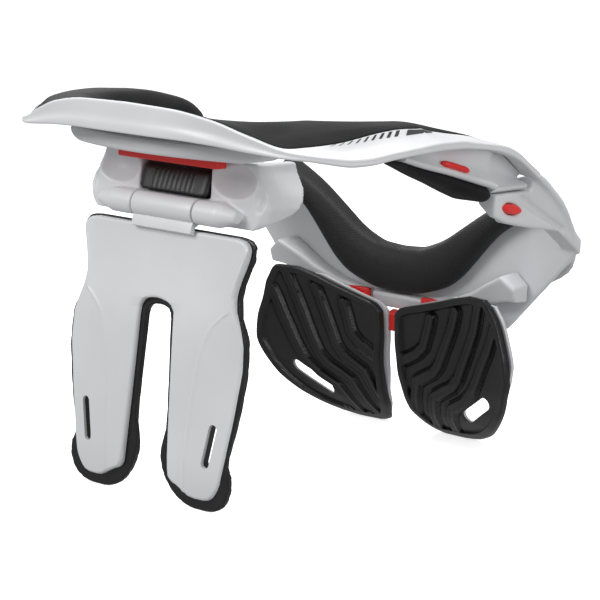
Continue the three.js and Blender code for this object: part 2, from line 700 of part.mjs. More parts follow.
// Inner edge (nx, ny, nz) and rim (rx, ry, rz) of the front table from the side joint to the centre.
// x as shares of TABLE_HALF, z as shares of LIP_TOP, y as shares of the way from TABLE_FRONT to the bib
// for the inner edge and to FRONT_REACH for the rim.
const frontRows = [
  { k: 0, nx: 0.8603, ny: 0.0115, nz: 0.8152, rx: 1, ry: 0.0093, rz: 0.8348 },
  { k: 1, nx: 0.8456, ny: 0.1483, nz: 0.8022, rx: 0.9926, ry: 0.0832, rz: 0.82 },
  { k: 2, nx: 0.8272, ny: 0.313, nz: 0.7848, rx: 0.9868, ry: 0.2037, rz: 0.787 },
  { k: 3, nx: 0.8088, ny: 0.4942, nz: 0.763, rx: 0.9801, ry: 0.3334, rz: 0.7461 },
  { k: 4, nx: 0.7868, ny: 0.6755, nz: 0.7413, rx: 0.9721, ry: 0.4259, rz: 0.7043 },
  { k: 5, nx: 0.761, ny: 0.8402, nz: 0.7261, rx: 0.9618, ry: 0.5187, rz: 0.6522 },
  { k: 6, nx: 0.6985, ny: 1, nz: 0.713, rx: 0.9191, ry: 0.6203, rz: 0.5913 },
  { k: 7, nx: 0.5662, ny: 1, nz: 0.6957, rx: 0.8309, ry: 0.7407, rz: 0.5435 },
  { k: 8, nx: 0.4559, ny: 1, nz: 0.6565, rx: 0.7206, ry: 0.8242, rz: 0.5087 },
  { k: 9, nx: 0.3529, ny: 1, nz: 0.6065, rx: 0.5735, ry: 0.8979, rz: 0.4739 },
  { k: 10, nx: 0.2279, ny: 1, nz: 0.5557, rx: 0.3824, ry: 0.9536, rz: 0.4457 },
  { k: 11, nx: 0.1103, ny: 1, nz: 0.5322, rx: 0.1912, ry: 0.9889, rz: 0.4304 },
  { k: 12, nx: 0, ny: 1, nz: 0.5261, rx: 0, ry: 1, rz: 0.4261 },
];
const front = reader(frontRows, "k");
function frontRing(k) {
  const s = k > 12 ? -1 : 1;
  const q = k > 12 ? 24 - k : k;
  const ny = THREE.MathUtils.lerp(TABLE_FRONT, BIB_BACK + 0.7, front(q, "ny"));
  const ry = THREE.MathUtils.lerp(TABLE_FRONT, FRONT_REACH, front(q, "ry"));
  const n = V(s * TABLE_HALF * front(q, "nx"), ny, LIP_TOP * front(q, "nz"));
  const r = V(s * TABLE_HALF * front(q, "rx"), ry, LIP_TOP * front(q, "rz"));
  const across = V(0, 0, 0).subVectors(r, n).setZ(0).normalize();
  const inset = (d, dz) => r.clone().addScaledVector(across, -d).add(V(0, 0, dz));
  const down = THREE.MathUtils.clamp(q / 4, 0, 1);
  return [
    n,
    inset(1.2, 0.4),
    r.clone().add(V(0, 0, -0.8)),
    r.clone().add(V(0, 0, -RIM_T)),
    inset(3.5, -RIM_T - 0.6 * down),
    n.clone().add(V(0, 0, -SHELL - 1)),
  ];
}
const frontSteps = [0, 0.5, 1, 1.5, 2, 2.5, 3, 3.5, 4, 4.5, 5, 5.5, 6, 6.5, 7, 7.5, 8, 8.5, 9, 9.5, 10, 11, 12];
const frontTable = loft([...frontSteps, ...frontSteps.slice(0, -1).map((k) => 24 - k).reverse()].map(frontRing));

const cheekOutline = [
  [CHEEK_BACK, 168],
  [CHEEK_BACK + 13, 163.6],
  [CHEEK_BACK + 38, 158.8],
  [CHEEK_BACK + 74, 153.5],
  [236, 140],
  [BIB_BACK + 4, 136],
  [BIB_BACK + 4, 146],
  [234, 152],
  [223, 163.5],
  [213, 172],
  [200, 181],
  [190, 185.5],
  [TABLE_FRONT + 0.8, 187],
  [TABLE_FRONT + 0.8, CHEEK_TOP],
  [CHEEK_BACK, CHEEK_TOP],
];
const cheekBlock = sideways(cheekOutline, CHEEK_IN, CHEEK_T);
const bibOutline = [
  [BIB_HALF, 146],
  [BIB_HALF, 138],
  [123, 130],
  [104, 107.5],
  [82, 82],
  [70, 79],
  [40, 86],
  [14, 86],
];
const neckline = [
  [0, NECK_LOW],
  [14, NECK_LOW + 1.2],
  [25, NECK_LOW + 4.5],
  [35, NECK_LOW + 9.5],
  [45, NECK_LOW + 16.5],
  [55, NECK_LOW + 24],
  [65, NECK_LOW + 31.5],
  [76, NECK_LOW + 38.5],
  [90, NECK_LOW + 43],
  [98, NECK_LOW + 42],
];
const bibRight = [...bibOutline.slice().reverse(), [118, 155], ...neckline.slice(1).reverse()];
const bibLeft = bibRight.map(([x, z]) => [-x, z]).reverse();
const bib = frontal([...bibRight, neckline[0], ...bibLeft], BIB_BACK, BIB_T);

// Long bevelled groove in the outer face of a cheek, and a small hole.
const faceX = CHEEK_IN + CHEEK_T;
const grooveDeep = 2.6;
const groove = loft(
  [
    [0.2, 0],
    [-grooveDeep, 2],
  ].map(([dx, inset]) =>
    [
      [164 + inset, 180.2 - inset * 0.5],
      [171 + inset * 0.5, 178.6 - inset * 0.8],
      [222 - inset * 1.4, 154.6 + inset],
      [221 - inset * 1.4, 151.6 + inset * 1.2],
      [214, 154.4 + inset * 0.6],
      [170 + inset * 0.3, 171.4 + inset],
    ].map(([y, z]) => V(faceX + dx, y, z)),
  ),
);
const buttonAt = V(faceX, 157.5, 171.3);
const buttonTurn = new THREE.Matrix4().makeRotationX(-0.2);
function ovalRod(x, reach, half, tall) {
  const g = new THREE.CylinderGeometry(1, 1, reach, 24);
  g.rotateZ(Math.PI / 2);
  g.scale(1, half, tall);
  g.applyMatrix4(buttonTurn);
  g.translate(x + reach / 2, buttonAt.y, buttonAt.z);
  return asSolid(g);
}
const cheekHole = rod(1.6, V(faceX - 4, 176, 176.5), V(faceX + 1, 176, 176.5), 12);
// The lower inner corner of a cheek is cut away aslant and runs out towards the front.
const cheekBevel = loft(
  [
    { y: CHEEK_BACK - 3, wide: 36, tall: 28 },
    { y: CHEEK_BACK + 12, wide: 30, tall: 24 },
    { y: CHEEK_BACK + 30, wide: 6, tall: 10 },
  ].map(({ y, wide, tall }) => [
    V(CHEEK_IN - 3, y, 150),
    V(CHEEK_IN - 3 + wide, y, 150),
    V(CHEEK_IN - 3, y, 150 + tall),
  ]),
);
const cheekCut = cheekBlock
  .subtract(cheekBevel)
  .subtract(groove)
  .subtract(cheekHole)
  .subtract(ovalRod(faceX - 6, 8, 9.4, 3.4));
const pivotAt = (z) => V(PIVOT_X, PIVOT_Y, z);
const pivotEye = join(
  rod(3.4, pivotAt(165.5), pivotAt(CHEEK_TOP), 20),
  level(
    [
      [PIVOT_X, PIVOT_Y - 3.3],
      [PIVOT_X + 6, PIVOT_Y - 3.3],
      [PIVOT_X + 6, PIVOT_Y + 3],
      [PIVOT_X, PIVOT_Y + 3.3],
    ],
    165.5,
    CHEEK_TOP - 165.5,
  ),
);
const frontShell = join(frontTable, bib, cheekCut, mirrored(cheekCut), pivotEye).subtract(
  rod(PIVOT_R + 0.3, pivotAt(160), pivotAt(190), 18),
);
place("front_shell", frontShell, "shell");

// Upright pin of the left side joint, on the rear half: it hangs from the wing into the front half's eye
const pinTop = LIP_TOP - FALL * table(turnOf(PIVOT_Y), "low") - GAP - 0.8;
place("front_hinge_pin", rod(PIVOT_R, pivotAt(166.5), pivotAt(pinTop), 18), "pin");

pair("release_button", ovalRod(faceX - 3, 3.8, 9, 3), "lock");

// Neckline pad: a U along the edge of the bib

// ux, uz: its upper edge; lx, lz: its lower edge, in millimetres as shares of BIB_HALF and BIB_TOP.
const collarRows = [
  { k: 0, ux: 0, uz: 0.707, lx: 0, lz: 0.549 },
  { k: 1, ux: 0.115, uz: 0.714, lx: 0.12, lz: 0.558 },
  { k: 2, ux: 0.2, uz: 0.735, lx: 0.21, lz: 0.576 },
  { k: 3, ux: 0.275, uz: 0.763, lx: 0.3, lz: 0.603 },
  { k: 4, ux: 0.352, uz: 0.804, lx: 0.38, lz: 0.648 },
  { k: 5, ux: 0.43, uz: 0.848, lx: 0.445, lz: 0.704 },
  { k: 6, ux: 0.508, uz: 0.892, lx: 0.508, lz: 0.762 },
  { k: 7, ux: 0.59, uz: 0.932, lx: 0.586, lz: 0.826 },
  { k: 8, ux: 0.69, uz: 0.972, lx: 0.69, lz: 0.882 },
  { k: 9, ux: 0.74, uz: 0.99, lx: 0.745, lz: 0.905 },
];
const collar = reader(collarRows, "k");
function collarRing(k) {
  const s = k < 0 ? -1 : 1;
  const q = Math.abs(k);
  const u = V(s * BIB_HALF * collar(q, "ux"), 0, BIB_TOP * collar(q, "uz"));
  const l = V(s * BIB_HALF * collar(q, "lx"), 0, BIB_TOP * collar(q, "lz"));
  const t = COLLAR_T + 0.45 * q;
  const at = (share, depth) => V(0, 0, 0).lerpVectors(l, u, share).setY(BIB_BACK - depth);
  return [
    at(0, GAP),
    at(-0.02, t * 0.45),
    at(0.12, t * 0.8),
    at(0.35, t),
    at(0.65, t * 0.98),
    at(0.88, t * 0.75),
    at(1.0, t * 0.4),
    at(0.97, GAP),
  ];
}
const collarSteps = [0.5, 1, 1.5, 2, 2.5, 3, 3.5, 4, 4.5, 5, 5.5, 6, 6.5, 7, 7.5, 8, 9];
const collarPad = loft([...collarSteps.map((k) => -k).reverse(), 0, ...collarSteps].map(collarRing));
place("neckline_pad", collarPad, "foam");

// Chest pads with their backing plates, arms and locks

// z: height on a chest pad as a share of CHEST_TALL; in and out: its edges as shares of CHEST_OUT;
// bow: how far it bows there towards the wearer, as a share of CHEST_BOW.
const chestRows = [
  { z: 0.0, in: 0.27, out: 0.42, bow: 0.0 },
  { z: 0.02, in: 0.2, out: 0.55, bow: 0.12 },
  { z: 0.08, in: 0.14, out: 0.69, bow: 0.5 },
  { z: 0.17, in: 0.09, out: 0.81, bow: 0.86 },
  { z: 0.27, in: 0.08, out: 0.9, bow: 1.0 },
  { z: 0.38, in: 0.07, out: 0.96, bow: 1.0 },
  { z: 0.5, in: 0.065, out: 1.0, bow: 0.84 },
  { z: 0.62, in: 0.055, out: 0.99, bow: 0.58 },
  { z: 0.77, in: 0.06, out: 0.945, bow: 0.24 },
  { z: 0.82, in: 0.1, out: 0.93, bow: 0.16 },
  { z: 0.875, in: 0.28, out: 0.91, bow: 0.1 },
  { z: 0.915, in: 0.42, out: 0.885, bow: 0.06 },
  { z: 0.962, in: 0.57, out: 0.855, bow: 0.02 },
  { z: 0.99, in: 0.68, out: 0.825, bow: 0.0 },
];
const chest = reader(chestRows, "z");
const chestTop = chestRows[chestRows.length - 1].z;
// A point on the straight plane behind a pad, and one on the pad's bowed face; off goes away from the wearer.
const armAt = (x, z, off) => V(x, CHEST_Y - CHEST_LEAN * z - CHEST_SPLAY * x + off, z);
function chestAt(x, z, off) {
  const bow = CHEST_BOW * chest(THREE.MathUtils.clamp(z / CHEST_TALL, 0, chestTop), "bow");
  const out = Math.max(x / CHEST_OUT - 0.45, 0) / 0.55;
  return armAt(x, z, off - bow - CHEST_WRAP * out * out);
}
// A bowed slab between two distances from the pad's face, drawn in by a margin at its edges.
const chestSteps = [0, 0.02, 0.05, 0.08, 0.12, 0.17, 0.22, 0.27, 0.32, 0.38, 0.44, 0.5, 0.56, 0.62, 0.7, 0.77];
const chestHeights = [...chestSteps, 0.82, 0.875, 0.915, 0.962, chestTop];
function chestSlab(inset, near, far, edge = 0) {
  const low = inset / CHEST_TALL;
  const high = chestTop - (1.5 * inset) / CHEST_TALL;
  return loft(
    chestHeights
      .filter((share) => share > low + 0.004 && share < high - 0.004)
      .concat(high)
      .reduce((made, share) => [...made, share], [low])
      .map((share) => {
        const z = share * CHEST_TALL;
        const a = CHEST_OUT * chest(Math.min(share + (0.8 * inset) / CHEST_TALL, chestTop), "in") + inset;
        const b = CHEST_OUT * chest(share, "out") - inset;
        const mid = (t) => a + (Math.max(b, a + 1) - a) * t;
        return [
          chestAt(mid(0), z, far),
          chestAt(mid(0), z, near + edge),
          chestAt(mid(0.03), z, near),
          chestAt(mid(0.3), z, near),
          chestAt(mid(0.55), z, near),
          chestAt(mid(0.78), z, near),
          chestAt(mid(0.97), z, near),
          chestAt(mid(1), z, near + edge),
          chestAt(mid(1), z, far),
          chestAt(mid(0.78), z, far),
          chestAt(mid(0.55), z, far),
          chestAt(mid(0.3), z, far),
        ];
      }),
  );
}
const strapCut = (grow) =>
  loft(
    [-10, 20].map((off) =>
      slot(56, 19.5, 76, 34.5, 3.4 + grow).map(([x, z]) => chestAt(66, 27, off).setX(x).setZ(z)),
    ),
  );
const chestPad = chestSlab(0, 0, CHEST_T, 1)
  .subtract(chestSlab(6, -3, 1.8))
  .subtract(strapCut(0));
// Bent ribs on the face, each a line of points across and up the pad.
const ribRows = [
  { line: [[35, 80], [32, 72], [29, 64], [23, 58], [14, 53]] },
  { line: [[54, 86], [50, 76], [46, 66], [41, 54], [36, 47.5], [28, 43], [21, 39], [18, 30], [15, 20]] },
  { line: [[74, 91], [70, 80], [66, 70], [61, 58], [56, 47], [50, 40], [41, 35], [33, 30], [29, 20], [25, 10]] },
  { line: [[86, 80], [82, 70], [77, 60], [72, 49], [68, 42]] },
];
const rib = ({ line }) =>
  loft(
    line.map(([x, z]) => [
      chestAt(x - 2.6, z, 2.6),
      chestAt(x - 1.2, z, 0.6),
      chestAt(x + 1.2, z, 0.6),
      chestAt(x + 2.6, z, 2.6),
    ]),
  );
pair("chest_pad", ribRows.map(rib).reduce((p, r) => p.add(r), chestPad), "rubber");

const backFace = CHEST_T + GAP + BACKING_T;
pair("chest_plate", chestSlab(4, CHEST_T + GAP, backFace).subtract(strapCut(1)), "shell");

// Chest arm along the top of a pad, against the bib, with its lock in front; a link joins both arms
// low and high: its edges, as shares of ARM_Z; x as a share of CHEST_OUT.
const armEdge = [
  { x: 0.21, low: 0.82, high: 0.9 },
  { x: 0.3, low: 0.83, high: 0.915 },
  { x: 0.47, low: 0.86, high: 0.95 },
  { x: 0.62, low: 0.9, high: 1.01 },
  { x: 0.76, low: 0.945, high: 1.09 },
  { x: 0.88, low: 0.975, high: 1.15 },
  { x: 0.97, low: 0.98, high: 1.08 },
];
const armNear = CHEST_T + GAP + BACKING_T + 2.8;
const armBar = (rows, near) =>
  loft(
    rows.map(({ x, low, high }) => {
      const px = x * CHEST_OUT;
      const a = low * ARM_Z;
      const b = high * ARM_Z;
      const far = BIB_BACK - GAP;
      return [
        armAt(px, a, near),
        V(px, far, a - 1),
        V(px, far, b),
        armAt(px, b - 1.5, near + 1.5),
        armAt(px, b - 3.5, near),
      ];
    }),
  );
// A foot on the arm carries the backing plate.
const armFoot = loft(
  [
    [chestAt, backFace + GAP + 0.1],
    [armAt, armNear + 1],
  ].map(([at, off]) => [
    at(0.46 * CHEST_OUT, 0.77 * ARM_Z, off),
    at(0.6 * CHEST_OUT, 0.78 * ARM_Z, off),
    at(0.6 * CHEST_OUT, 0.9 * ARM_Z, off),
    at(0.46 * CHEST_OUT, 0.87 * ARM_Z, off),
  ]),
);
pair("chest_arm", armBar(armEdge, armNear).add(armFoot), "shell");
const lockAt = (x, z0, z1) => [
  armAt(x, z0, armNear - GAP),
  armAt(x, z0, armNear - 4.2),
  armAt(x, z1 - 1, armNear - 4.2),
  armAt(x, z1, armNear - 3.2),
  armAt(x, z1, armNear - GAP),
];
pair("chest_lock", loft([lockAt(26, 91.5, 96.5), lockAt(42.5, 95, 100)]), "lock");
const linkLow = 0.8 * ARM_Z;
const linkRows = [-0.2, 0, 0.2].map((x) => ({ x, low: 0.8, high: 0.9 - 0.02 * Math.abs(x) }));
place("centre_link", armBar(linkRows, armNear - 1), "shell");
const centreLock = sideways(
  [
    [BIB_BACK - 7, linkLow - 15],
    [BIB_BACK - 2.5, linkLow - 16],
    [BIB_BACK - 0.8, linkLow - 3],
    [BIB_BACK - 0.8, linkLow - 1.3],
    [BIB_BACK - 6.5, linkLow - 2.5],
    [BIB_BACK - 7.4, linkLow - 4],
  ],
  -5,
  10,
);
place("centre_lock", centreLock, "lock");

export default root;
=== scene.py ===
# %% [markdown]
# # A moulded neck brace for riding
# The brace is white satin plastic with black padding and small red locks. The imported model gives
# every piece's place, so the work here is to give each one its finer surface and its finish.
# Everything is worked out in millimetres, measured from the point of the floor under the hinge of the
# back fin, and moved to the model's own origin and to metres only when a mesh is made.

# %% Load the fixed frame
import math

import bmesh
import bpy
import numpy as np
from mathutils import Matrix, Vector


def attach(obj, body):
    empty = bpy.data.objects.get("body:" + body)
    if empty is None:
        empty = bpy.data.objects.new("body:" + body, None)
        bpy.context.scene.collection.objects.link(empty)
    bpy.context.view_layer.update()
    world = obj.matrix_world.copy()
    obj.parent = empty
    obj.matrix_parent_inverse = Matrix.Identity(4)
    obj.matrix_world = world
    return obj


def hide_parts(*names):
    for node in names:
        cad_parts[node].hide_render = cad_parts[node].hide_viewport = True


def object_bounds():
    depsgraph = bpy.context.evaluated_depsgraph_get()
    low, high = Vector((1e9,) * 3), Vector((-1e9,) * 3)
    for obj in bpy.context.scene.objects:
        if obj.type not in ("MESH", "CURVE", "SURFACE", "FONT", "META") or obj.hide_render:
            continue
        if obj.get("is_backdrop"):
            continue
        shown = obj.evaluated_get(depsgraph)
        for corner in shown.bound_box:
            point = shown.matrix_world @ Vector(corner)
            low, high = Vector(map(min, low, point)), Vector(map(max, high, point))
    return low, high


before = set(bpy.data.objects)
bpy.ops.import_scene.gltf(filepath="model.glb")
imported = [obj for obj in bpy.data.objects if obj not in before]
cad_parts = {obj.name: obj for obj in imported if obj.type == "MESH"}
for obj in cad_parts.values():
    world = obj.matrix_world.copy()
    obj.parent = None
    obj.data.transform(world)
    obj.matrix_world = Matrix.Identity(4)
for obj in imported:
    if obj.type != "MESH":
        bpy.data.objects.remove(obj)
cad_box = [list(corner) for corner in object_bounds()]
SHIFT = np.array([0.0, -122.5, 0.0])  # from the foot of the hinge to the model's origin, in mm


def shown(name, data):
    """A new object of the scene that shows the data."""
    thing = bpy.data.objects.new(name, data)
    bpy.context.scene.collection.objects.link(thing)
    return thing


# %% [markdown]
# ## The camera
# The photograph was taken from behind the wearer's right shoulder, about ten degrees above the
# table, through a long lens. The three directions below are the camera's right, up and forward.

# %% Camera


def pose_of(side, top, back, place):
    """The matrix that turns an object's own axes to side, top and back, and sets it at a place."""
    pose = np.eye(4)
    pose[:3] = np.stack([side, top, back, place], -1)
    return Matrix(pose.tolist())


right = np.array([0.7912, 0.6092, 0.0523])
forward = np.array([-0.5934, 0.7856, -0.1754])
forward /= np.linalg.norm(forward)
right -= forward * (right @ forward)
right /= np.linalg.norm(right)
up = np.cross(right, forward)
eye = (np.array([841.46, -985.27, 349.51]) + SHIFT) / 1000
camera = shown("camera", bpy.data.cameras.new("camera"))
camera.matrix_world = pose_of(right, up, -forward, eye)
camera.data.sensor_width = 36.0
camera.data.lens = 138.0
camera.data.clip_start, camera.data.clip_end = 0.05, 20.0
bpy.context.scene.camera = camera
print("camera stands", round(float(np.linalg.norm(eye)), 2), "m away")

# %% [markdown]
# ## Light and floor
# A studio sweep: the strongest light is a soft box overhead, with weaker ones behind the camera and
# at both sides. The floor glows a little, so that it is nearly white in the picture, and it is kept
# out of the bounced light, so that the hollows under the table stay dark as in a real studio.

# %% Lights and floor


def soft_light(name, place, aim, size, power):
    """A square area light of a given size in metres at a place, turned to look at the aim point."""
    lamp = bpy.data.lights.new(name, "AREA")
    lamp.shape, lamp.size, lamp.energy = "SQUARE", size, power
    back = np.array(place, float) - np.array(aim, float)
    back /= np.linalg.norm(back)
    side = np.cross([0.0, 0.0, 1.0], back)
    side /= np.linalg.norm(side)
    shown(name, lamp).matrix_world = pose_of(side, np.cross(back, side), back, place)


soft_light("key", (-0.5, -1.3, 0.95), (0, 0, 0.1), 0.7, 14)
soft_light("side", (1.5, -0.2, 0.5), (0, 0, 0.12), 0.6, 6)
soft_light("rim", (-1.1, 0.7, 0.9), (0, 0, 0.15), 0.6, 5)
soft_light("top", (0.15, 0.1, 1.5), (0, 0, 0.1), 0.8, 15)

world = bpy.data.worlds.new("studio")
bpy.context.scene.world = world
world.use_nodes = True
sky = world.node_tree.nodes["Background"].inputs
sky["Color"].default_value, sky["Strength"].default_value = (1.0, 1.0, 1.0, 1.0), 0.42
bpy.context.scene.view_settings.view_transform = "Standard"

reach = 15.0 * np.array([[-1, -1, 0], [1, -1, 0], [1, 1, 0], [-1, 1, 0]], float)
floor_mesh = bpy.data.meshes.new("floor")
floor_mesh.from_pydata(reach.tolist(), [], [(0, 1, 2, 3)])
floor = shown("floor", floor_mesh)
floor.visible_diffuse = floor.visible_glossy = False
floor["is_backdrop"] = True
print(len(bpy.data.lights), "lights and a floor")

# %% [markdown]
# ## Shader sums in plain Python
# A wire is one output of a node. Adding or multiplying wires adds the Math node that does it, so a
# mask reads as a formula. Every other node comes from one method that takes its type, its settings
# and what goes into its sockets.

# %% Shader helper


class Wire:
    """One socket of a finish: sums on it grow Math nodes, and numbers alone stay in Python."""

    def __init__(self, finish, socket):
        self.finish, self.socket = finish, socket

    def math(self, what, *values):
        return self.finish.node("ShaderNodeMath", {"operation": what}, *values)

    def __add__(self, other):
        return self.math("ADD", self, other)

    __radd__ = __add__

    def __sub__(self, other):
        return self.math("SUBTRACT", self, other)

    def __rsub__(self, other):
        return self.math("SUBTRACT", other, self)

    def __mul__(self, other):
        return self.math("MULTIPLY", self, other)

    __rmul__ = __mul__

    def cosine(self):
        return self.math("COSINE", self)

    def step(self, low, high):
        """0 below low, 1 above high and a smooth ramp between."""
        return self.finish.node(
            "ShaderNodeMapRange",
            {"interpolation_type": "SMOOTHSTEP"},
            Value=self,
            **{"From Min": low, "From Max": high},
        )


class Finish:
    """A material with one principled shader; node() adds any node and returns its first output."""

    def __init__(self, name, **sockets):
        self.material = bpy.data.materials.new(name)
        self.material.use_nodes = True
        self.tree = self.material.node_tree
        self.shader = self.tree.nodes["Principled BSDF"]
        self.set(self.shader, sockets)

    def set(self, node, values):
        for key, value in values.items():
            socket = node.inputs[key]
            if isinstance(value, Wire):
                self.tree.links.new(value.socket, socket)
            else:
                socket.default_value = value

    def node(self, kind, settings=None, *numbered, out=0, **named):
        made = self.tree.nodes.new(kind)
        for key, value in (settings or {}).items():
            setattr(made, key, value)
        self.set(made, dict(enumerate(numbered)))
        self.set(made, named)
        return Wire(self, made.outputs[out])

    def place(self):
        """Object coordinates in metres."""
        return self.node("ShaderNodeTexCoord", out="Object")

    def mix(self, mask, a, b):
        """Colour a where the mask is 0 and b where it is 1."""
        made = self.tree.nodes.new("ShaderNodeMix")
        made.data_type = "RGBA"
        self.set(made, {0: mask, 6: a, 7: b})
        return Wire(self, made.outputs[2])

    def finish(self, **links):
        self.set(self.shader, links)
        return self.material


# %% [markdown]
# ## Finishes
# White satin plastic: a fine moulded grain, a hardly visible change of tone and slightly duller
# patches where it is handled.

# %% White plastic


def white_plastic():
    f = Finish("white_plastic", **{"Specular IOR Level": 0.45})
    at = f.place()
    cloud = f.node("ShaderNodeTexNoise", {}, Vector=at, Scale=14.0, Detail=4.0)
    grain = f.node("ShaderNodeTexNoise", {}, Vector=at, Scale=1900.0, Detail=2.0)
    scuff = f.node("ShaderNodeTexNoise", {}, Vector=at, Scale=95.0, Detail=6.0, Roughness=0.7)
    tone = f.mix(cloud.step(0.35, 0.7), (0.66, 0.665, 0.685, 1), (0.71, 0.715, 0.73, 1))
    rough = 0.36 + 0.1 * scuff.step(0.45, 0.75)
    bump = f.node("ShaderNodeBump", {}, Strength=0.12, Distance=0.0002, Height=grain + 0.4 * scuff)
    return f.finish(**{"Base Color": tone, "Roughness": rough, "Normal": bump})


def red_plastic():
    f = Finish("red_plastic", **{"Specular IOR Level": 0.5})
    at = f.place()
    cloud = f.node("ShaderNodeTexNoise", {}, Vector=at, Scale=60.0, Detail=3.0)
    grain = f.node("ShaderNodeTexNoise", {}, Vector=at, Scale=1500.0)
    tone = f.mix(cloud, (0.72, 0.012, 0.012, 1), (0.85, 0.03, 0.025, 1))
    bump = f.node("ShaderNodeBump", {}, Strength=0.1, Distance=0.0002, Height=grain)
    return f.finish(**{"Base Color": tone, "Roughness": 0.3 + 0.1 * cloud, "Normal": bump})


def brushed_steel():
    f = Finish("brushed_steel", Metallic=1.0)
    at = f.place()
    stretch = f.node("ShaderNodeMapping", {}, Vector=at, Scale=(60.0, 2400.0, 2400.0))
    lines = f.node("ShaderNodeTexNoise", {}, Vector=stretch, Scale=1.0, Detail=3.0)
    tone = f.mix(lines, (0.42, 0.42, 0.43, 1), (0.6, 0.6, 0.61, 1))
    return f.finish(**{"Base Color": tone, "Roughness": 0.25 + 0.2 * lines})


# %% [markdown]
# The pads on the table are foam under smooth black cloth. The neckline pad has an open knitted mesh
# over its foam, which is drawn as rows of small holes from two crossed waves. The fin's backing and
# the chest pads are moulded rubber with a fine leathery grain.

# %% Black finishes
KNIT_ROW, KNIT_STITCH = 1.3, 2.2  # one wave of the knit across and along the pad, in mm


def black_cloth():
    sheen = {"Sheen Weight": 0.03, "Sheen Roughness": 0.4}
    f = Finish("black_cloth", **{"Specular IOR Level": 0.2}, **sheen)
    at = f.place()
    thread = f.node("ShaderNodeTexNoise", {}, Vector=at, Scale=1400.0, Detail=2.0)
    patch = f.node("ShaderNodeTexNoise", {}, Vector=at, Scale=30.0, Detail=5.0)
    tone = f.mix(patch.step(0.35, 0.7), (0.006, 0.006, 0.0065, 1), (0.014, 0.014, 0.015, 1))
    bump = f.node("ShaderNodeBump", {}, Strength=0.35, Distance=0.0004, Height=thread + 0.5 * patch)
    return f.finish(**{"Base Color": tone, "Roughness": 0.62 + 0.15 * thread, "Normal": bump})


def black_knit():
    sheen = {"Sheen Weight": 0.04, "Sheen Roughness": 0.4}
    f = Finish("black_knit", **{"Specular IOR Level": 0.25}, **sheen)
    along = f.node("ShaderNodeUVMap", {"uv_map": "UVMap"})
    u, v = [f.node("ShaderNodeSeparateXYZ", {}, along, out=axis) for axis in ("X", "Y")]
    # a hole where both waves are high or both low, so that every other row is offset by half a step
    rows, stitches = v * (2 * math.pi / KNIT_ROW), u * (2 * math.pi / KNIT_STITCH)
    holes = (rows.cosine() * stitches.cosine()).step(0.25, 0.6)
    tone = f.mix(holes, (0.02, 0.02, 0.021, 1), (0.002, 0.002, 0.002, 1))
    bump = f.node("ShaderNodeBump", {}, Strength=0.7, Distance=0.0005, Height=1 - holes)
    return f.finish(**{"Base Color": tone, "Roughness": 0.5 + 0.3 * holes, "Normal": bump})


def black_rubber():
    f = Finish("black_rubber", **{"Specular IOR Level": 0.5})
    at = f.place()
    grain = f.node("ShaderNodeTexVoronoi", {}, Vector=at, Scale=1100.0)
    patch = f.node("ShaderNodeTexNoise", {}, Vector=at, Scale=45.0, Detail=5.0)
    tone = f.mix(patch.step(0.35, 0.7), (0.004, 0.004, 0.0045, 1), (0.009, 0.009, 0.01, 1))
    bump = f.node("ShaderNodeBump", {}, Strength=0.25, Distance=0.0003, Height=grain + 0.3 * patch)
    return f.finish(**{"Base Color": tone, "Roughness": 0.3 + 0.15 * patch, "Normal": bump})


def pale_floor():
    f = Finish("pale_floor", Roughness=0.8, **{"Specular IOR Level": 0.1, "Emission Strength": 0.75})
    cloud = f.node("ShaderNodeTexNoise", {}, Vector=f.place(), Scale=0.7)
    pale = f.mix(cloud, (0.93, 0.93, 0.93, 1), (0.95, 0.95, 0.95, 1))
    return f.finish(**{"Base Color": pale, "Emission Color": pale})


WHITE, RED, STEEL = white_plastic(), red_plastic(), brushed_steel()
CLOTH, KNIT, RUBBER = black_cloth(), black_knit(), black_rubber()
SLOTS = {WHITE: "white_shell", RED: "red_lock", STEEL: "steel_pin"}
SLOTS |= {CLOTH: "black_foam", KNIT: "black_foam", RUBBER: "black_rubber"}
floor_mesh.materials.append(pale_floor())
print(len(bpy.data.materials), "materials")

# %% [markdown]
# ## Small tools for surfaces
# A table of rows is read by smooth monotone curves, corners of a section are rounded, and rings of
# points become a closed skin. All of it works on whole arrays.

# %% Surface tools


def reader(at, values):
    """Cubic Hermite curve through (at, values): its inner slopes are harmonic means of the slopes
    on both sides, so it never overshoots."""
    at, y = np.asarray(at, float), np.asarray(values, float)
    h = np.diff(at)
    s = np.diff(y) / h
    same = s[:-1] * s[1:] > 0
    total = np.where(same, s[:-1] + s[1:], 1.0)
    inner = np.where(same, 2 * s[:-1] * s[1:] / total, 0.0)
    m = np.concatenate([[s[0]], inner, [s[-1]]])

    def read(q):
        q = np.asarray(q, float)
        i = np.clip(np.searchsorted(at, q, side="right") - 1, 0, len(h) - 1)
        t = np.clip((q - at[i]) / h[i], 0, 1)
        low = y[i] * (2 * t**3 - 3 * t**2 + 1) + m[i] * h[i] * (t**3 - 2 * t**2 + t)
        return low + y[i + 1] * (3 * t**2 - 2 * t**3) + m[i + 1] * h[i] * (t**3 - t**2)

    return read


def smooth(t):
    """3t^2 - 2t^3 from 0 to 1, level before and after."""
    t = np.clip(t, 0, 1)
    return t * t * (3 - 2 * t)


def quarter(t):
    """A quarter circle up from 0 to 1: the square root of 1 - (1 - t)^2."""
    return np.sqrt(1 - (1 - np.clip(t, 0, 1)) ** 2)


def corner_list(*corners):
    """Corners (a, b), each a number or an array (n), as one array (n, corners, 2)."""
    whole = np.broadcast_arrays(*[np.asarray(v, float) for pair in corners for v in pair])
    return np.stack(whole, -1).reshape(*whole[0].shape, -1, 2)


def across_x(x, flat):
    """Sections (n, m, 2) in y and z, each set at its own of n places x."""
    return np.concatenate([0 * flat[..., :1] + x[:, None, None], flat], -1)


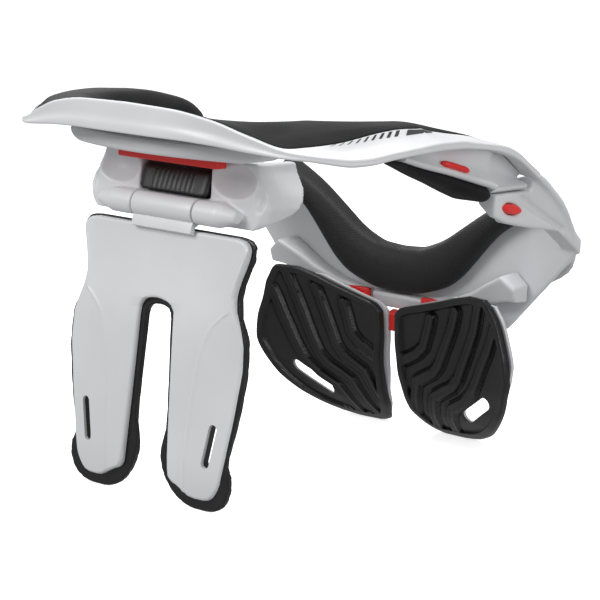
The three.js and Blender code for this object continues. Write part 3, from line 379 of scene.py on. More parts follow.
def along_y(y, flat):
    """Sections (n, m, 2) in x and z, each set at its own of n places y."""
    return np.stack([flat[..., 0], 0 * flat[..., 0] + y[:, None], flat[..., 1]], -1)


def rounded(rings, radius, steps=3):
    """Each corner P of closed rings (..., m, k) becomes a quadratic curve from a point radius before
    it to one radius after it, (1-t)^2 A + 2t(1-t) P + t^2 B, never reaching past half of a side."""
    before = np.roll(rings, 1, axis=-2) - rings
    after = np.roll(rings, -1, axis=-2) - rings
    r = np.broadcast_to(np.asarray(radius, float), rings.shape[:-1])[..., None]
    la = np.maximum(np.linalg.norm(before, axis=-1, keepdims=True), 1e-9)
    lb = np.maximum(np.linalg.norm(after, axis=-1, keepdims=True), 1e-9)
    a = rings + before / la * np.minimum(r, la * 0.5)
    b = rings + after / lb * np.minimum(r, lb * 0.5)
    t = np.linspace(0, 1, steps + 1)[:, None]
    a, p, b = a[..., None, :], rings[..., None, :], b[..., None, :]
    curve = (1 - t) ** 2 * a + 2 * t * (1 - t) * p + t**2 * b
    return curve.reshape(*rings.shape[:-2], -1, rings.shape[-1])


def skin(rings):
    """Points (n, m, 3) of n closed rings as vertices and faces, with a flat cap at each end."""
    n, m, _ = rings.shape
    k = np.arange(n * m).reshape(n, m)
    a, b = k[:-1], np.roll(k, -1, axis=1)[:-1]
    c, d = np.roll(k, -1, axis=1)[1:], k[1:]
    quads = np.stack([a, b, c, d], axis=-1).reshape(-1, 4)
    faces = quads.tolist() + [k[0][::-1].tolist(), k[-1].tolist()]
    return rings.reshape(-1, 3), faces


def shell_of(near, far, open_low=None):
    """Two grids (n, m, 3) with the same layout as one closed plate: both faces and the rim between
    them. open_low marks the rows whose first column is a seam to be merged with a mirror image."""
    n, m, _ = near.shape
    k = np.arange(n * m).reshape(n, m)
    face = np.stack([k[:-1, :-1], k[:-1, 1:], k[1:, 1:], k[1:, :-1]], axis=-1).reshape(-1, 4)
    back = face[:, ::-1] + n * m
    low, high = k[:, 0], k[:, -1]
    keep = np.ones(n - 1, bool) if open_low is None else ~(open_low[:-1] & open_low[1:])
    rim = [
        np.stack([low[:-1], low[1:], low[1:] + n * m, low[:-1] + n * m], -1)[keep],
        np.stack([high[1:], high[:-1], high[:-1] + n * m, high[1:] + n * m], -1),
        np.stack([k[0, 1:], k[0, :-1], k[0, :-1] + n * m, k[0, 1:] + n * m], -1),
        np.stack([k[-1, :-1], k[-1, 1:], k[-1, 1:] + n * m, k[-1, :-1] + n * m], -1),
    ]
    faces = np.concatenate([face, back, *rim])
    return np.concatenate([near.reshape(-1, 3), far.reshape(-1, 3)]), faces.tolist()


def mesh_of(name, points, faces):
    """A mesh from points in millimetres: moved to the model's origin, in metres, faces outwards."""
    made = bpy.data.meshes.new(name)
    made.from_pydata(((points + SHIFT) / 1000).tolist(), [], faces)
    work = bmesh.new()
    work.from_mesh(made)
    bmesh.ops.remove_doubles(work, verts=work.verts, dist=2e-6)
    bmesh.ops.recalc_face_normals(work, faces=work.faces)
    if work.calc_volume(signed=True) < 0:
        bmesh.ops.reverse_faces(work, faces=work.faces)
    work.to_mesh(made)
    work.free()
    return made


def put(mesh, material, body, nodes=(), sharp=40):
    """Shows a finished mesh as a piece on a body, in place of the named nodes."""
    made = shown(mesh.name, mesh)
    mesh.shade_smooth()
    mesh.set_sharp_from_angle(angle=math.radians(sharp))
    mesh.materials.clear()
    mesh.materials.append(material)
    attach(made, body)
    if nodes:
        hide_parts(*nodes)
    print(f"{mesh.name}: {len(mesh.polygons)} faces")


def solved(thing):
    """The object's mesh with its modifiers worked out, and the object itself removed."""
    graph = bpy.context.evaluated_depsgraph_get()
    mesh = bpy.data.meshes.new_from_object(thing.evaluated_get(graph))
    mesh.name = thing.name
    bpy.data.objects.remove(thing)
    return mesh


SIDES = (("right", 1.0), ("left", -1.0))  # the wearer's sides, and the sign of x there


def sided(points, sign):
    """Points of the right side, or their mirror image for the sign -1."""
    return points * np.array([sign, 1.0, 1.0])


# %% [markdown]
# ## Small hard pieces
# The link and the lock between the chest pads keep the shape of their solids. A merged copy of each
# gets a rounded edge, as every moulded part has, from a Bevel modifier that is worked out at once.
# The two steel pins are right as they are and only get their finish.

# %% Rounded copies


def merged_copy(node, name):
    """The node's mesh as a new one with its split corners joined and its flat faces whole again."""
    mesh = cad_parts[node].data.copy()
    mesh.name = name
    work = bmesh.new()
    work.from_mesh(mesh)
    bmesh.ops.remove_doubles(work, verts=work.verts, dist=2e-5)
    flat = math.radians(1.0)
    bmesh.ops.dissolve_limit(work, angle_limit=flat, verts=work.verts, edges=work.edges)
    work.to_mesh(mesh)
    work.free()
    return mesh


def bevelled(mesh, width):
    """The mesh with its sharp edges rounded to a width in mm."""
    thing = shown(mesh.name, mesh)
    bevel = thing.modifiers.new("edges", "BEVEL")
    bevel.width, bevel.segments = width / 1000, 3
    bevel.limit_method, bevel.angle_limit = "ANGLE", math.radians(28)
    bevel.use_clamp_overlap, bevel.miter_outer = True, "MITER_ARC"
    return solved(thing)


for node, material, width in (("centre_link", WHITE, 1.4), ("centre_lock", RED, 0.8)):
    put(bevelled(merged_copy(node, node + "_eased"), width), material, "front", [node], sharp=38)
for pin in ("fin_hinge_pin", "front_hinge_pin"):
    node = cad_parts[pin]
    node.data.materials.clear()
    node.data.materials.append(STEEL)

# %% [markdown]
# ## The helmet table
# The table runs round the back of the neck and out along two wings. Its plan is a squared ellipse at
# the rear that goes over into straight sides. At each turn a section is drawn across it: outer wall,
# rounded lip, margin, a seat for the pad, and the thin underside.

# %% Table surface
TABLE_HALF, TABLE_BACK, TABLE_SIDE, TABLE_FRONT = 136.0, -41.0, 80.0, 178.0
HOLE_HALF, HOLE_FLARE, HOLE_BACK, SQUARE = 82.0, 27.0, -1.0, 2.6
LIP_TOP, FALL, SHELL, SEAT, PAD_T, PAD_END = 230.0, 45.0, 4.0, 1.6, 7.0, 1.7
# turn, lip, low, bank, bank drop, crest, crest drop, opening drop, fold of the wall in mm
table_rows = np.array([
    [0.00, 0.000, 0.390, 0.050, 0.000, 0.55, 0.100, 0.38, 0.6],
    [0.10, 0.020, 0.390, 0.050, 0.020, 0.55, 0.120, 0.38, 0.9],
    [0.21, 0.105, 0.410, 0.050, 0.095, 0.55, 0.145, 0.39, 1.8],
    [0.33, 0.265, 0.460, 0.055, 0.250, 0.57, 0.140, 0.40, 2.2],
    [0.45, 0.400, 0.505, 0.080, 0.375, 0.60, 0.120, 0.43, 0.8],
    [0.52, 0.425, 0.520, 0.130, 0.355, 0.64, 0.110, 0.45, 0.2],
    [0.59, 0.445, 0.550, 0.158, 0.325, 0.68, 0.100, 0.47, 0.2],
    [0.66, 0.460, 0.575, 0.200, 0.290, 0.70, 0.105, 0.48, 0.2],
    [0.72, 0.445, 0.560, 0.238, 0.250, 0.72, 0.110, 0.49, 0.2],
    [0.82, 0.380, 0.490, 0.300, 0.195, 0.73, 0.120, 0.49, 0.2],
    [0.91, 0.335, 0.445, 0.340, 0.170, 0.74, 0.130, 0.49, 0.2],
    [1.00, 0.300, 0.420, 0.390, 0.190, 0.74, 0.145, 0.49, 0.2],
    [1.10, 0.300, 0.420, 0.430, 0.230, 0.75, 0.165, 0.50, 0.2],
    [1.30, 0.345, 0.445, 0.460, 0.290, 0.75, 0.240, 0.54, 0.2],
    [1.52, 0.400, 0.500, 0.460, 0.345, 0.75, 0.350, 0.60, 0.2],
    [1.64, 0.445, 0.560, 0.460, 0.405, 0.75, 0.450, 0.66, 0.2],
    [1.76, 0.540, 0.650, 0.460, 0.460, 0.75, 0.570, 0.72, 0.2],
    [1.88, 0.680, 0.785, 0.460, 0.620, 0.75, 0.690, 0.80, 0.2],
    [2.00, 0.820, 0.930, 0.460, 0.800, 0.75, 0.820, 0.90, 0.2],
])
table_read = [reader(table_rows[:, 0], table_rows[:, k]) for k in range(1, 9)]


def hole_flare(t):
    """Extra half width of the opening, which grows over the last 0.7 of a wing."""
    return HOLE_FLARE * smooth((t - 1.3) / 0.7)


def on_table(turn, share, z):
    """Plan point: x = half sin^e(angle), y = side - (side - back) cos^e(angle), then straight ahead;
    share 0 is the rim and 1 the opening, which widens again near the front ends."""
    side, t = np.where(turn < 0, -1.0, 1.0), np.abs(turn)
    angle = np.minimum(t, 1.0) * np.pi / 2
    e = 2 / SQUARE
    half = TABLE_HALF + (HOLE_HALF - TABLE_HALF) * share
    back = TABLE_BACK + (HOLE_BACK - TABLE_BACK) * share
    x = half * np.sin(angle) ** e
    y = TABLE_SIDE - (TABLE_SIDE - back) * np.maximum(np.cos(angle), 0) ** e
    x = x + hole_flare(t) * share
    y = y + np.maximum(t - 1, 0) * (TABLE_FRONT - TABLE_SIDE)
    return np.stack([side * x, y, z + 0 * x], axis=-1)


def table_parts(turn):
    """The table's heights and places at each turn: widths in mm from the rim, heights in mm."""
    t = np.abs(turn)
    w = np.linalg.norm(on_table(turn, 0 * t, 0 * t) - on_table(turn, 0 * t + 1, 0 * t), axis=-1)
    lip, low, bank, bank_drop, crest, crest_drop, hole, fold = [read(t) for read in table_read]
    high = LIP_TOP - FALL * np.stack([lip, low, bank_drop, crest_drop, hole])
    return w, high, bank * w, crest * w, fold


def table_section(turn):
    """Corners of the section at each turn as (place in from the rim, height), both in mm."""
    w, (lip, low, bank_z, crest_z, hole_z), bank, crest, fold = table_parts(turn)
    padded = np.abs(turn) <= PAD_END
    seat, pad = np.where(padded, SEAT, 0.2), np.where(padded, PAD_T, 0.4)
    tall = lip - low
    inner = np.minimum(0.5 * fold, 0.3 * bank)
    dish = 1.5 * np.clip((bank - 7) / 8, 0, 1)
    drop = bank_z - lip
    return corner_list(
        (0.3, low), (0.0, low + 0.26 * tall), (fold, low + 0.46 * tall), (inner, lip - 0.6),
        (inner + np.minimum(2.6, 0.4 * bank), lip + 0.04 * drop),
        (np.maximum(0.3 * bank, inner + np.minimum(3.6, 0.5 * bank)), lip + 0.1 * drop - dish),
        (0.72 * bank, lip + 0.5 * drop - 1.3 * dish), (bank - 0.25, bank_z),
        (bank + 0.1, bank_z - seat), (crest, crest_z - pad), (w - 2, hole_z), (w - 3, hole_z - 3),
        (crest + 1, crest_z - pad - SHELL), (bank + 3.5, bank_z - seat - SHELL), (4.0, low),
    ), w


wing = np.linspace(1, 2, 60)
pad_edge = PAD_END + 0.004
table_turns = np.concatenate([-wing[::-1], np.linspace(-1, 1, 161)[1:-1], wing])
table_turns = np.sort(np.concatenate([table_turns, [-pad_edge, pad_edge]]))
corners, table_width = table_section(table_turns)
radii = [1.2, 1.6, 2.5, 2.0, 1.6, 2.0, 5.0, 0.5, 0.4, 6.0, 1.2, 1.2, 6.0, 2.0, 1.0]
fine = rounded(corners, np.array(radii), 4)
table_ring = on_table(table_turns[:, None], fine[..., 0] / table_width[:, None], fine[..., 1])
put(mesh_of("helmet_table", *skin(table_ring)), WHITE, "rear", ["rear_table"], sharp=50)

# %% [markdown]
# ## The pad on the table
# Foam under cloth, glued into its seat. The outer slope is steep up to a soft ridge, then the top
# domes over the crest and falls to the neck opening. It is tight foam, so it is shaped directly
# rather than by simulation, and it wrinkles nowhere.

# %% Table pad
pad_turns = np.linspace(-PAD_END + 0.004, PAD_END - 0.004, 300)
w, (_, _, bank_z, crest_z, hole_z), bank, crest, _ = table_parts(pad_turns)
rise = crest_z - bank_z
corner = np.exp(-(((np.abs(pad_turns) - 0.36) / 0.13) ** 2))
swell = quarter((PAD_END - 0.004 - np.abs(pad_turns)) / 0.05)


def pad_corner(place, height):
    """A corner of the pad's section, let down to its seat near the ends so that they round off."""
    share = np.clip((place - bank) / (crest - bank), 0, 1)
    seat = bank_z - SEAT + 0.4 + (crest_z - PAD_T - bank_z + SEAT) * share
    return place, seat + (height - seat) * (0.25 + 0.75 * swell)


pad_section = corner_list(
    (bank + 0.9, bank_z - SEAT + 0.4),
    pad_corner(bank + 1.0, bank_z + 0.3),
    pad_corner(bank + 0.24 * (crest - bank), bank_z + rise * (0.52 - 0.3 * corner) + 0.8),
    pad_corner(bank + 0.6 * (crest - bank), bank_z + rise * (0.88 - 0.2 * corner) + 0.5),
    pad_corner(crest, crest_z + 0.4),
    pad_corner(crest + 0.4 * (w - crest), crest_z - 1.0),
    pad_corner(crest + 0.75 * (w - crest), 0.5 * (crest_z + hole_z + 4)),
    pad_corner(w - 1.0, hole_z + 4),
    (w - 2.2, hole_z + 0.6),
    (crest, crest_z - PAD_T + 0.4),
)
fine = rounded(pad_section, np.array([0.3, 1.0, 2.2, 6.0, 8.0, 8.0, 6.0, 3.0, 1.0, 5.0]), 5)
pad_ring = on_table(pad_turns[:, None], fine[..., 0] / w[:, None], fine[..., 1])
put(mesh_of("table_pad", *skin(pad_ring)), CLOTH, "rear", ["rear_pad"], sharp=60)

# %% [markdown]
# ## The back fin
# A forked plate of white plastic on a thicker black rubber backing. Each half is a grid between an
# inner and an outer edge, both read from a table by height; above the fork the inner edge is the
# centre line, where the two halves are merged. The outer part of each leg is a facet that tilts back
# from a crease.

# %% Fin plate and backing
HINGE_Z, FIN_LEAN = 168.6, 0.05
FIN_SLOT = (48.2, 49.2, 44.6, 28.8)  # x and z of both ends of a strap slot's middle line
plate_rows = np.array([
    # height, inner edge, outer edge
    [6.9, 37.5, 43.5], [7.6, 33.5, 46.6], [9.5, 30.0, 49.3], [12.0, 25.5, 51.3], [15.0, 19.5, 53.0],
    [18.5, 17.3, 54.3], [28.0, 16.3, 56.0], [40.0, 15.6, 58.0], [55.0, 14.8, 60.6], [70.0, 14.1, 62.6],
    [85.0, 13.4, 64.4], [98.0, 12.9, 63.8], [106.0, 12.6, 61.6], [110.5, 12.2, 59.8], [113.8, 10.4, 58.3],
    [115.6, 7.8, 57.5], [116.6, 3.5, 57.0], [116.9, 0.0, 56.9], [125.0, 0.0, 55.6], [132.0, 0.0, 56.6],
    [141.0, 0.0, 59.2], [147.0, 0.0, 60.8], [151.0, 0.0, 61.2], [154.0, 0.0, 60.0], [156.3, 0.0, 57.0],
    [157.2, 0.0, 52.0],
])
rubber_rows = np.array([
    [0.0, 34.5, 43.5], [0.9, 29.5, 48.5], [3.0, 24.5, 53.0], [6.0, 20.0, 56.5], [11.0, 15.5, 59.0],
    [17.0, 11.8, 60.3], [22.0, 10.0, 60.0], [28.0, 9.0, 57.4], [34.0, 9.6, 57.6], [42.0, 11.5, 59.6],
    [55.0, 11.6, 62.4], [70.0, 10.8, 64.6], [85.0, 10.0, 66.0], [98.0, 9.3, 65.4], [106.0, 9.0, 63.2],
    [109.0, 8.4, 61.6], [111.3, 6.8, 60.4], [112.5, 3.6, 59.8], [112.9, 0.0, 59.4], [124.0, 0.0, 57.6],
    [132.0, 0.0, 58.8], [141.0, 0.0, 61.8], [148.0, 0.0, 63.6], [152.0, 0.0, 63.6], [155.5, 0.0, 61.8],
    [157.4, 0.0, 58.0], [158.2, 0.0, 52.0],
])


def fin_grid(rows, steps, across):
    """The x and z of a half: its rows are spread evenly over the table's own steps, so that the
    corners stay fine."""
    at = np.interp(np.linspace(0, len(rows) - 1, steps), np.arange(len(rows)), rows[:, 0])
    low, high = reader(rows[:, 0], rows[:, 1])(at), reader(rows[:, 0], rows[:, 2])(at)
    u = 0.5 - 0.5 * np.cos(np.linspace(0, np.pi, across))
    u = 0.35 * u + 0.65 * np.linspace(0, 1, across)
    return low[:, None] + (high - low)[:, None] * u, at[:, None] + 0 * u


def to_segment(x, z, line):
    """Distance of each point from a bent line of points (x, z)."""
    line = np.asarray(line, float)
    a, b = line[:-1], line[1:]
    p = np.stack([x, z], -1)[..., None, :]
    t = np.clip(((p - a) * (b - a)).sum(-1) / ((b - a) ** 2).sum(-1), 0, 1)
    return np.linalg.norm(p - (a + (b - a) * t[..., None]), axis=-1).min(-1)


crease = reader(
    [13, 23, 40, 64, 84, 96, 105, 112.6, 117, 124, 141, 150, 157],
    [29.6, 30.0, 31.0, 32.6, 35.0, 38.0, 41.5, 48.5, 53.0, 53.4, 57.5, 60.5, 62.0],
)


def fin_bow(z):
    """The whole fin is bowed: its top lies towards the wearer, and its tips curl the same way."""
    return 4.2 * smooth((z - 100) / 56) + 3.2 * np.clip((30 - z) / 30, 0, 1) ** 2


def fin_lean(z):
    """How far the fin leans back, a share of the distance below its hinge."""
    return -FIN_LEAN * (HINGE_Z - z)


def edge_distance(x, z, rows):
    """Distance of each point from the outline of a half: its legs, its outer edge and its top."""
    inner = rows[: np.argmax(rows[:, 1] == 0) + 1]
    ring = np.concatenate([[[0.0, rows[-1, 0]]], rows[::-1][:, [2, 0]], inner[:, [1, 0]]])
    return to_segment(x, z, ring)


def roll_off(d, r):
    """Height lost by a quarter round of radius r at a distance d from the edge."""
    return r - np.sqrt(np.maximum(r**2 - np.clip(r - d, 0, r) ** 2, 0))


def slot_cutter(line, half, y_low, y_high):
    """A round-ended bar along a line (x0, z0, x1, z1), running from y_low to y_high."""
    x0, z0, x1, z1 = line
    way = np.array([x1 - x0, z1 - z0]) / math.hypot(x1 - x0, z1 - z0)
    side = np.array([-way[1], way[0]])
    a = np.linspace(-np.pi / 2, np.pi / 2, 9)[:, None]
    tip = np.array([x1, z1]) + half * (np.cos(a) * way + np.sin(a) * side)
    tail = np.array([x0, z0]) - half * (np.cos(a) * way + np.sin(a) * side)
    rings = along_y(np.array([y_low, y_high]), np.stack([np.concatenate([tip, tail])] * 2))
    return shown("slot", mesh_of("slot", *skin(rings)))


def cut(mesh, cutters):
    """The mesh with each cutter taken away from it; the cutters are removed."""
    thing = shown(mesh.name, mesh)
    for cutter in cutters:
        take = thing.modifiers.new("cut", "BOOLEAN")
        take.operation, take.solver, take.object = "DIFFERENCE", "EXACT", cutter
    made = solved(thing)
    for cutter in cutters:
        bpy.data.objects.remove(cutter)
    return made


def both_halves(points, faces):
    """The right half of a piece together with its mirror image, whose faces run the other way."""
    n = len(points)
    flip = [[i + n for i in face[::-1]] for face in faces]
    return np.concatenate([points, sided(points, -1.0)]), faces + flip


def fin_face(x, z, rows):
    """Rear face of the white plate: it leans with the fin, and beyond the crease it tilts back."""
    past = np.abs(x) - crease(z)
    beyond = np.maximum(past, 0)
    soft = beyond**2 / (beyond + 2.0)
    ridge = 0.6 * np.exp(-((past / 1.0) ** 2))
    inner = np.maximum(19.5 - np.abs(x), 0) * np.clip((116 - z) / 6, 0, 1)
    y = -5.5 + fin_lean(z) + fin_bow(z) + 0.1 * soft - ridge + 0.2 * inner
    return y + roll_off(edge_distance(x, z, rows), 1.8)


def fin_slots(half):
    """Cutters for the strap slot of each leg, with half its width."""
    x0, z0, x1, z1 = FIN_SLOT
    return [slot_cutter((s * x0, z0, s * x1, z1), half, -30, 12) for s in (1, -1)]


x, z = fin_grid(plate_rows, 230, 60)
near = np.stack([x, fin_face(x, z, plate_rows), z], -1)
far = np.stack([x, -1.9 + fin_lean(z) + fin_bow(z), z], -1)
fin_mesh = mesh_of("fin_plate_face", *both_halves(*shell_of(near, far, open_low=z[:, 0] > 116.8)))
put(cut(fin_mesh, fin_slots(2.7)), WHITE, "fin", sharp=35)

x, z = fin_grid(rubber_rows, 200, 50)
d = edge_distance(x, z, rubber_rows)
near = np.stack([x, -1.6 + fin_lean(z) + fin_bow(z) + roll_off(d, 1.0), z], -1)
far = np.stack([x, 2.8 + fin_lean(z) + 0.5 * fin_bow(z) - roll_off(d, 1.2), z], -1)
rubber_mesh = mesh_of("fin_backing", *both_halves(*shell_of(near, far, open_low=z[:, 0] > 112.8)))
put(cut(rubber_mesh, fin_slots(2.8)), RUBBER, "fin", ["fin_rubber"], sharp=40)

# %% [markdown]
# The fin hangs on a barrel that turns in the yoke's knuckles: a round sleeve with a web down to the
# plate, worked out as one section carried across.

# %% Hinge barrel
angles = np.linspace(math.radians(-62), math.radians(236), 40)
BARREL_R, BARREL_HALF = 7.3, 22.2
arc = np.stack([BARREL_R * np.cos(angles), HINGE_Z + BARREL_R * np.sin(angles)], -1)
web = np.array([[-5.3, 160.2], [-5.9, 156.5], [-2.4, 155.0], [-2.1, 158.9], [1.5, 160.8]])
section = np.concatenate([arc, web])
edge = np.array([-BARREL_HALF, 0.3 - BARREL_HALF, 0.8 - BARREL_HALF, -10])
across = np.concatenate([edge, -edge[::-1]])
ease = np.array([0.94, 0.985, 1, 1, 1, 1, 0.985, 0.94])
centre = np.array([0.0, HINGE_Z])
body = centre + (section - centre) * ease[:, None, None]
put(mesh_of("fin_barrel", *skin(across_x(across, body))), WHITE, "fin", ["fin_plate"], sharp=35)

# %% [markdown]
# ## The stop block
# A soft black block above the barrel. Its section is a rounded slanting box, drawn in towards both
# ends, with a row of shallow grip ribs on its face.

# %% Stop block
section = np.array([[1.6, 176.6], [16.5, 176.6], [16.5, 193.0], [9.8, 193.2], [6.6, 190.5]])
edge = np.linspace(-25, -21, 9)
across = np.concatenate([edge, np.linspace(-20.8, 20.8, 210), -edge[::-1]])
size = 0.72 + 0.28 * quarter((25.0 - np.abs(across)) / 4.0)
fine = rounded(section[None], np.array([2.2, 1.5, 1.5, 4.5, 3.0]), 6)[0]
centre = np.array([11.0, 185.0])
body = centre + (fine - centre) * size[:, None, None]
face = np.clip((9.5 - body[..., 0]) / 2.0, 0, 1) * np.clip((body[..., 1] - 179.3) / 1.2, 0, 1)
face = face * np.clip((188.6 - body[..., 1]) / 1.2, 0, 1)
RIB_STEP = 3.5
rib_reach = 4.5 * RIB_STEP
wave = 0.5 - 0.5 * np.cos(2 * np.pi * (across + rib_reach) / RIB_STEP)
body[..., 0] -= 0.5 * np.where(np.abs(across) < rib_reach, wave, 0)[:, None] * face
put(mesh_of("stop_block", *skin(across_x(across, body))), RUBBER, "rear", ["fin_stop"], sharp=50)

# %% [markdown]
# ## The neckline pad
# A fat U of foam under an open knit, along the edge of the front panel. The section swells to its
# thickness near the middle. Its own texture coordinates run in millimetres along and round it, so
# the knit keeps its size.

# %% Neckline pad
BIB_BACK, COLLAR_T = 238.0, 11.0
collar_rows = np.array([
    # place, upper x, upper z, lower x, lower z
    [0, 0.0, 121.6, 0.0, 94.4], [1, 14.7, 122.8, 15.4, 96.0], [2, 25.6, 126.4, 26.9, 99.1],
    [3, 35.2, 131.2, 38.4, 103.7], [4, 45.1, 138.3, 48.6, 111.5], [5, 55.0, 145.9, 57.0, 121.1],
    [6, 65.0, 153.4, 65.0, 131.1], [7, 75.5, 160.3, 75.0, 142.1], [8, 88.3, 167.2, 88.3, 151.7],
    [9, 94.7, 170.3, 95.4, 155.7],
])
collar_read = [reader(collar_rows[:, 0], collar_rows[:, k]) for k in range(1, 5)]
place = np.linspace(-9, 9, 240)
q, sign = np.abs(place), np.where(place < 0, -1.0, 1.0)
ux, uz, lx, lz = [read(q) for read in collar_read]
thick = COLLAR_T + 0.45 * q
share = np.array([0.0, -0.02, 0.1, 0.33, 0.66, 0.9, 1.06, 1.13, 1.12, 1.03])
depth = np.array([0.0, 0.5, 0.84, 1.03, 1.0, 0.84, 0.6, 0.15, -0.36, -0.4])
wide = sign[:, None] * (lx[:, None] + (ux - lx)[:, None] * share)
out = BIB_BACK - 0.4 - thick[:, None] * depth
rings = np.stack([wide, out, lz[:, None] + (uz - lz)[:, None] * share], -1)
rings = rounded(rings, 6.0, 5)
collar_mesh = mesh_of("neckline_pad_cover", *skin(rings))


def wrap_coordinates(mesh, rings):
    """Texture coordinates in mm: the running length along the middle of the rings and round each."""

    def running(line):
        return np.concatenate([[0], np.cumsum(np.linalg.norm(np.diff(line, axis=0), axis=-1))])

    mid = rings.mean(axis=1)
    along, round_it = running(mid), running(rings[len(rings) // 2])
    co = np.empty(len(mesh.vertices) * 3, np.float32)
    mesh.vertices.foreach_get("co", co)
    co = co.reshape(-1, 3) * 1000 - SHIFT
    centre_k = np.abs(co[:, None, :] - mid[None]).sum(-1).argmin(1)
    ring_of = rings[centre_k]
    k = np.linalg.norm(ring_of - co[:, None, :], axis=-1).argmin(1)
    uv = np.stack([along[centre_k], round_it[k]], -1)
    layer = mesh.uv_layers.new(name="UVMap")
    corner = np.empty(len(mesh.loops), np.int32)
    mesh.loops.foreach_get("vertex_index", corner)
    layer.data.foreach_set("uv", uv[corner].astype(np.float32).ravel())


wrap_coordinates(collar_mesh, rings)
put(collar_mesh, KNIT, "front", ["neckline_pad"], sharp=60)

# %% [markdown]
# ## The chest pads
# Moulded rubber pads, bowed towards the wearer and curled round at their outer edges. The face has a
# raised border, a sunk bed and bent ribs. Every height on the face comes from two distances: one to
# the outline and one to the lines of the ribs.

# %% Chest pads
CHEST_OUT, CHEST_TALL, CHEST_Y, CHEST_LEAN, CHEST_SPLAY = 100.0, 105.0, 262.7, 0.454, 0.051
CHEST_BOW, CHEST_WRAP, CHEST_T = 15.0, 8.0, 6.0
CHEST_SLOT = (56.0, 20.0, 75.5, 33.8)  # x and z of both ends of a strap slot's middle line
chest_rows = np.array([
    # height, inner edge, outer edge, bow, all as shares
    [0.0, 0.27, 0.42, 0.0], [0.02, 0.2, 0.55, 0.12], [0.08, 0.14, 0.69, 0.5], [0.17, 0.09, 0.81, 0.86],
    [0.27, 0.08, 0.9, 1.0], [0.38, 0.07, 0.96, 1.0], [0.5, 0.065, 1.0, 0.84], [0.62, 0.055, 0.99, 0.58],
    [0.77, 0.06, 0.945, 0.24], [0.82, 0.1, 0.93, 0.16], [0.875, 0.28, 0.91, 0.1],
    [0.915, 0.42, 0.885, 0.06], [0.962, 0.57, 0.855, 0.02], [0.99, 0.68, 0.825, 0.0],
])
chest_in, chest_out, chest_bow = [reader(chest_rows[:, 0], chest_rows[:, k]) for k in (1, 2, 3)]


def chest_y(x, z, off):
    """The bowed face: a leaning plane, minus the bow at that height and the curl of the outer edge."""
    bow = CHEST_BOW * chest_bow(np.clip(z / CHEST_TALL, 0, 0.99))
    out = np.maximum(x / CHEST_OUT - 0.45, 0) / 0.55
    return CHEST_Y - CHEST_LEAN * z - CHEST_SPLAY * x + off - bow - CHEST_WRAP * out**2


rib_lines = [
    [(35, 84), (32, 74), (29, 64), (23, 58), (14, 53), (5, 49)],
    [(56, 92), (51, 78), (46, 66), (41, 54), (36, 47.5), (28, 43), (21, 39), (18, 30), (15, 20), (10, 8)],
    [(76, 98), (70, 80), (66, 70), (61, 58), (56, 47), (50, 40), (41, 35), (33, 30), (29, 20), (24, 4)],
    [(88, 86), (82, 70), (77, 60), (72, 49), (67, 40), (58, 31), (46, 24), (42, 16), (39, 4)],
]


def chest_slot(sign, half):
    """The cutter for the strap slot of one side, with half its width."""
    x0, z0, x1, z1 = CHEST_SLOT
    return slot_cutter((sign * x0, z0, sign * x1, z1), half, 180, 290)


def chest_pad(side, sign):
    """One pad: a grid between its edges by height, whose face has a border, a bed and ribs."""
    v = np.linspace(0, 0.99, 190)
    u = np.linspace(0, 1, 130)
    low, high = CHEST_OUT * chest_in(v), CHEST_OUT * chest_out(v)
    x = low[:, None] + (high - low)[:, None] * u
    z = CHEST_TALL * v[:, None] + 0 * x
    rows = np.stack([CHEST_TALL * v, low, high], -1)[::3]
    ring = np.concatenate([rows[:, [1, 0]], rows[::-1][:, [2, 0]], rows[:1, [1, 0]]])
    d = to_segment(x, z, ring)
    bed = smooth((d - 4.2) / 1.6)
    near_rib = np.min([to_segment(x, z, line) for line in rib_lines], axis=0)
    band = smooth(1 - (near_rib - 2.6) / 0.9)
    groove = np.exp(-(((near_rib - 4.3) / 0.75) ** 2))
    rib = 2.1 * band - 1.1 * groove - 0.5 * np.exp(-((near_rib / 0.9) ** 2))
    off = roll_off(d, 1.6) + bed * (2.7 - rib) * np.clip((z - 1.0) / 4.0, 0, 1)
    near = np.stack([x, chest_y(x, z, off), z], -1)
    far = np.stack([x, chest_y(x, z, CHEST_T - 0.4 * roll_off(d, 1.5)), z], -1)
    points, faces = shell_of(near, far)
    mesh = mesh_of("chest_pad_rubber_" + side, sided(points, sign), faces)
    mesh = cut(mesh, [chest_slot(sign, 4.3)])
    put(mesh, RUBBER, "front", ["chest_pad_" + side], sharp=42)


for side, sign in SIDES:
    chest_pad(side, sign)

# %% [markdown]
# ## The plate under the table and the lock bar
# The slide plate is a bowed band that thins out to both ends, drawn as one section carried round a
# wide arc. The red bar lies under its edge.

# %% Slide plate and lock bar
PLATE_HALF, PLATE_BACK, PLATE_R, PLATE_TOP = 72, -25.0, 140.0, 208.6
x = np.linspace(-PLATE_HALF, PLATE_HALF, 150)
arc = PLATE_BACK + PLATE_R - np.sqrt(PLATE_R**2 - x**2)
tip = 0.25 + 0.75 * quarter((PLATE_HALF - np.abs(x)) / 15)
foot = PLATE_TOP - 8.0 * tip
section = corner_list(
    (arc + 0.6, foot), (arc - 0.9, foot + 1.5 * tip), (arc + 0.3, PLATE_TOP - 1.2),
    (arc + 1.5, PLATE_TOP), (11, PLATE_TOP), (11, foot),
)
section[:, 4:, 0] = np.maximum(section[:, 4:, 0], section[:, :1, 0] + 3)
fine = rounded(section, np.array([1.0, 1.5, 1.4, 1.0, 1.0, 1.0]), 4)
rings = across_x(x, fine)
put(mesh_of("slide_plate_band", *skin(rings)), WHITE, "rear", ["slide_plate"], sharp=50)


